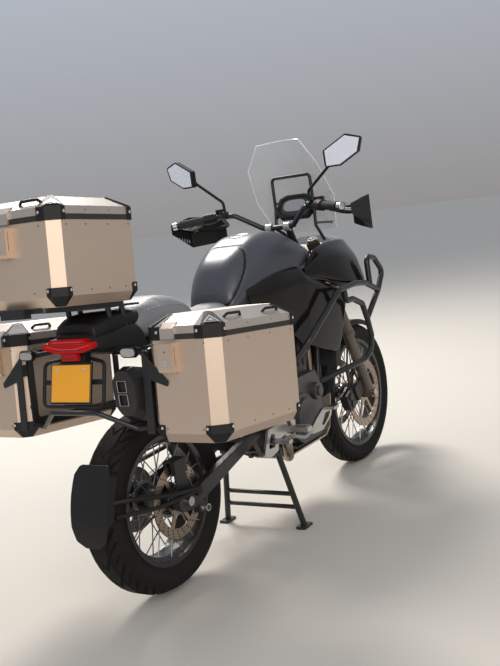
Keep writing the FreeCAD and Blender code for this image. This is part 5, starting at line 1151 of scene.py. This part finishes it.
rim = np.array([(-82, 0.5), (82, 0.5), (82, 114.5), (-82, 114.5)])
piece("plate_border", *swept(plate_place(rim[:, 0], rim[:, 1], 3.0), round_section(0.0016, 6),
                             (-1, 0, PLATE_LEAN), True), plate_frame, "chassis", "plastic_black")
piece("plate_screws", *turned_heads(plate_place([-56, 56], [16, 16], 3.0), (-0.963, 0, 0.27),
                                    0.0052, 0.0022, SCREW), bright_screw, "chassis", "steel")
for side, tag in ((-1, "right"), (1, "left")):
    y, z = pillow(27, 12.5, 0.6, 28)
    lens = place(-276.8, side * INDICATOR_ACROSS + y, INDICATOR_HEIGHT + z)
    piece(f"indicator_lens_{tag}", *slab(lens, (0.001, 0, 0)), clear_lens, "chassis", "lamp_clear")


# The silencer's end: two openings in its cap, one above the other, each with a thin bright rim and a
# dark sheet set inside it as painted shade.

for i, low in enumerate((748, 790)):
    slot_rim = np.array([(-206, low), (-172, low), (-172, low + 35), (-206, low + 35)], float)
    rim = swept(place(-296.5, *slot_rim.T), round_section(0.0009, 6), (1, 0, 0), True)
    # Painted shade: the dark sheet behind each rim stands in for the shade inside the opening.
    dark = slab(place(-284, *slot_rim.T), (0.001, 0, 0))
    piece(f"outlet_rim_{i}", *rim, alloy, "chassis", "steel")
    piece(f"outlet_shade_{i}", *dark, seal_rubber, "chassis", "silencer_black")


# The screen's trim: a pale bead along its edge, a painted highlight where the polished edge catches
# the light along the sides and the top, and its four screws.

# Painted highlight: the pale colour of the edge bead stands in for light caught on the screen's edge.
edge_bright = finish("edge_bright", (0.78, 0.82, 0.84), dust=0.0, depth=0.0, rough=0.12, Coat_Weight=0.6)
SCREEN_ROWS = ((1305, 150, 1135, 1408, 1112), (1239, 193, 1270, 1352, 1240), (1158, 170, 1417, 1268, 1400),
               (1148, 105, 1521, 1186, 1528))


def screen_arc(row, count):
    """An arc across the screen from right to left, through its two side places and its middle one.

    With h the half width and s the sagitta, the radius is (hh + ss) / 2s and x = middle - r (1 - cos a).
    """
    side_x, half, side_z, middle_x, middle_z = row
    sagitta = math.hypot(side_x - middle_x, side_z - middle_z)
    radius = (half ** 2 + sagitta ** 2) / (2 * sagitta)
    reach = math.asin(half / radius)
    if sagitta > radius:
        reach = math.pi - reach
    angle = np.linspace(-reach, reach, count)
    share = radius * (1 - np.cos(angle)) / sagitta
    return place(middle_x + (side_x - middle_x) * share, radius * np.sin(angle),
                 middle_z + (side_z - middle_z) * share)


right_edge = place(*np.array([(row[0], -row[1], row[2]) for row in SCREEN_ROWS]).T)
left_edge = right_edge * np.array([1, -1, 1])
border = np.concatenate([right_edge[:-1], screen_arc(SCREEN_ROWS[3], 17), left_edge[:-1][::-1]])
piece("screen_edge", *swept(border, round_section(0.0021, 8), (0.9, 0, 0.43)), edge_bright, "chassis",
      "screen_clear")
screen_spots = place([1325, 1325, 1369, 1369], [-96, 96, -96, 96], [1262, 1262, 1150, 1150])
piece("screen_screws", *turned_heads(screen_spots, (1, 0, 0), 0.009, 0.003, SCREW, 16),
      bright_screw, "chassis", "steel")


# Brakes and stand bobbins: slanting rows of dark discs on the brake discs' faces, painted shade for
# drilled holes, and a turned alloy bobbin on each side of the swingarm for a paddock stand.

drilled_dark = finish("drilled_dark", (0.01, 0.01, 0.01), dust=0.0, rough=0.8)
HOLE_ROWS = 24
FRONT_DISC_FACES = ((-0.0705, -1), (-0.0655, 1), (0.0705, 1), (0.0655, -1))
REAR_DISC_FACES = ((-0.0945, -1), (-0.0895, 1))
BOBBIN = [(0, 0), (0, 11), (4, 11), (7, 9.2), (18, 9.2), (21, 13), (25.5, 13), (25.8, 0)]


def drilled(axle, inner, outer, y_faces):
    """Slanting rows of three small dark discs on a brake disc's faces, painted shade for drilled holes,
    each further out than the last.
    """
    row, step = np.meshgrid(np.arange(HOLE_ROWS), np.arange(3), indexing="ij")
    radius = inner + (outer - inner) * (0.2 + 0.3 * step)
    angle = 2 * np.pi * row / HOLE_ROWS + 0.05 * step
    spots = []
    ways = []
    for y, way in y_faces:
        spots.append(np.stack([axle[0] + radius * np.cos(angle), np.full_like(radius, y),
                               axle[2] + radius * np.sin(angle)], axis=-1).reshape(-1, 3))
        ways.append(np.tile((0.0, way, 0.0), (radius.size, 1)))
    return turned_heads(np.concatenate(spots), np.concatenate(ways), 0.0034, 0.0002, DISC, 10)


piece("front_disc_holes", *drilled(FRONT_AXLE, 0.126, 0.160, FRONT_DISC_FACES), drilled_dark, "front_wheel",
      "disc_steel")
piece("rear_disc_holes", *drilled(REAR_AXLE, 0.096, 0.130, REAR_DISC_FACES), drilled_dark, "rear_wheel",
      "disc_steel")
for side, tag in ((-1, "right"), (1, "left")):
    bobbin = turned_piece(place(71, side * 142, 290), (0, side, 0), BOBBIN)
    piece(f"spool_{tag}", *bobbin, alloy, "chassis", "steel")


# The floor: one plain pale square, larger than the view, with a rough surface that takes soft
# shadows.

FLOOR_HALF = 30.0
floor_mesh = bpy.data.meshes.new("floor")
floor_corners = [(FLOOR_HALF * x, FLOOR_HALF * y, 0) for x, y in ((-1, -1), (1, -1), (1, 1), (-1, 1))]
floor_mesh.from_pydata(floor_corners, [], [(0, 1, 2, 3)])
floor = bpy.data.objects.new("floor", floor_mesh)
bpy.context.scene.collection.objects.link(floor)
floor_mesh.materials.append(finish("floor_pale", (0.62, 0.58, 0.52), second=(0.64, 0.6, 0.54),
                                   patch=0.6, dust=0.0, depth=0.0, rough=0.9))


def corners(box):
    """A box's two corners as plain lists."""
    return [[round(float(value), 6) for value in corner] for corner in box]
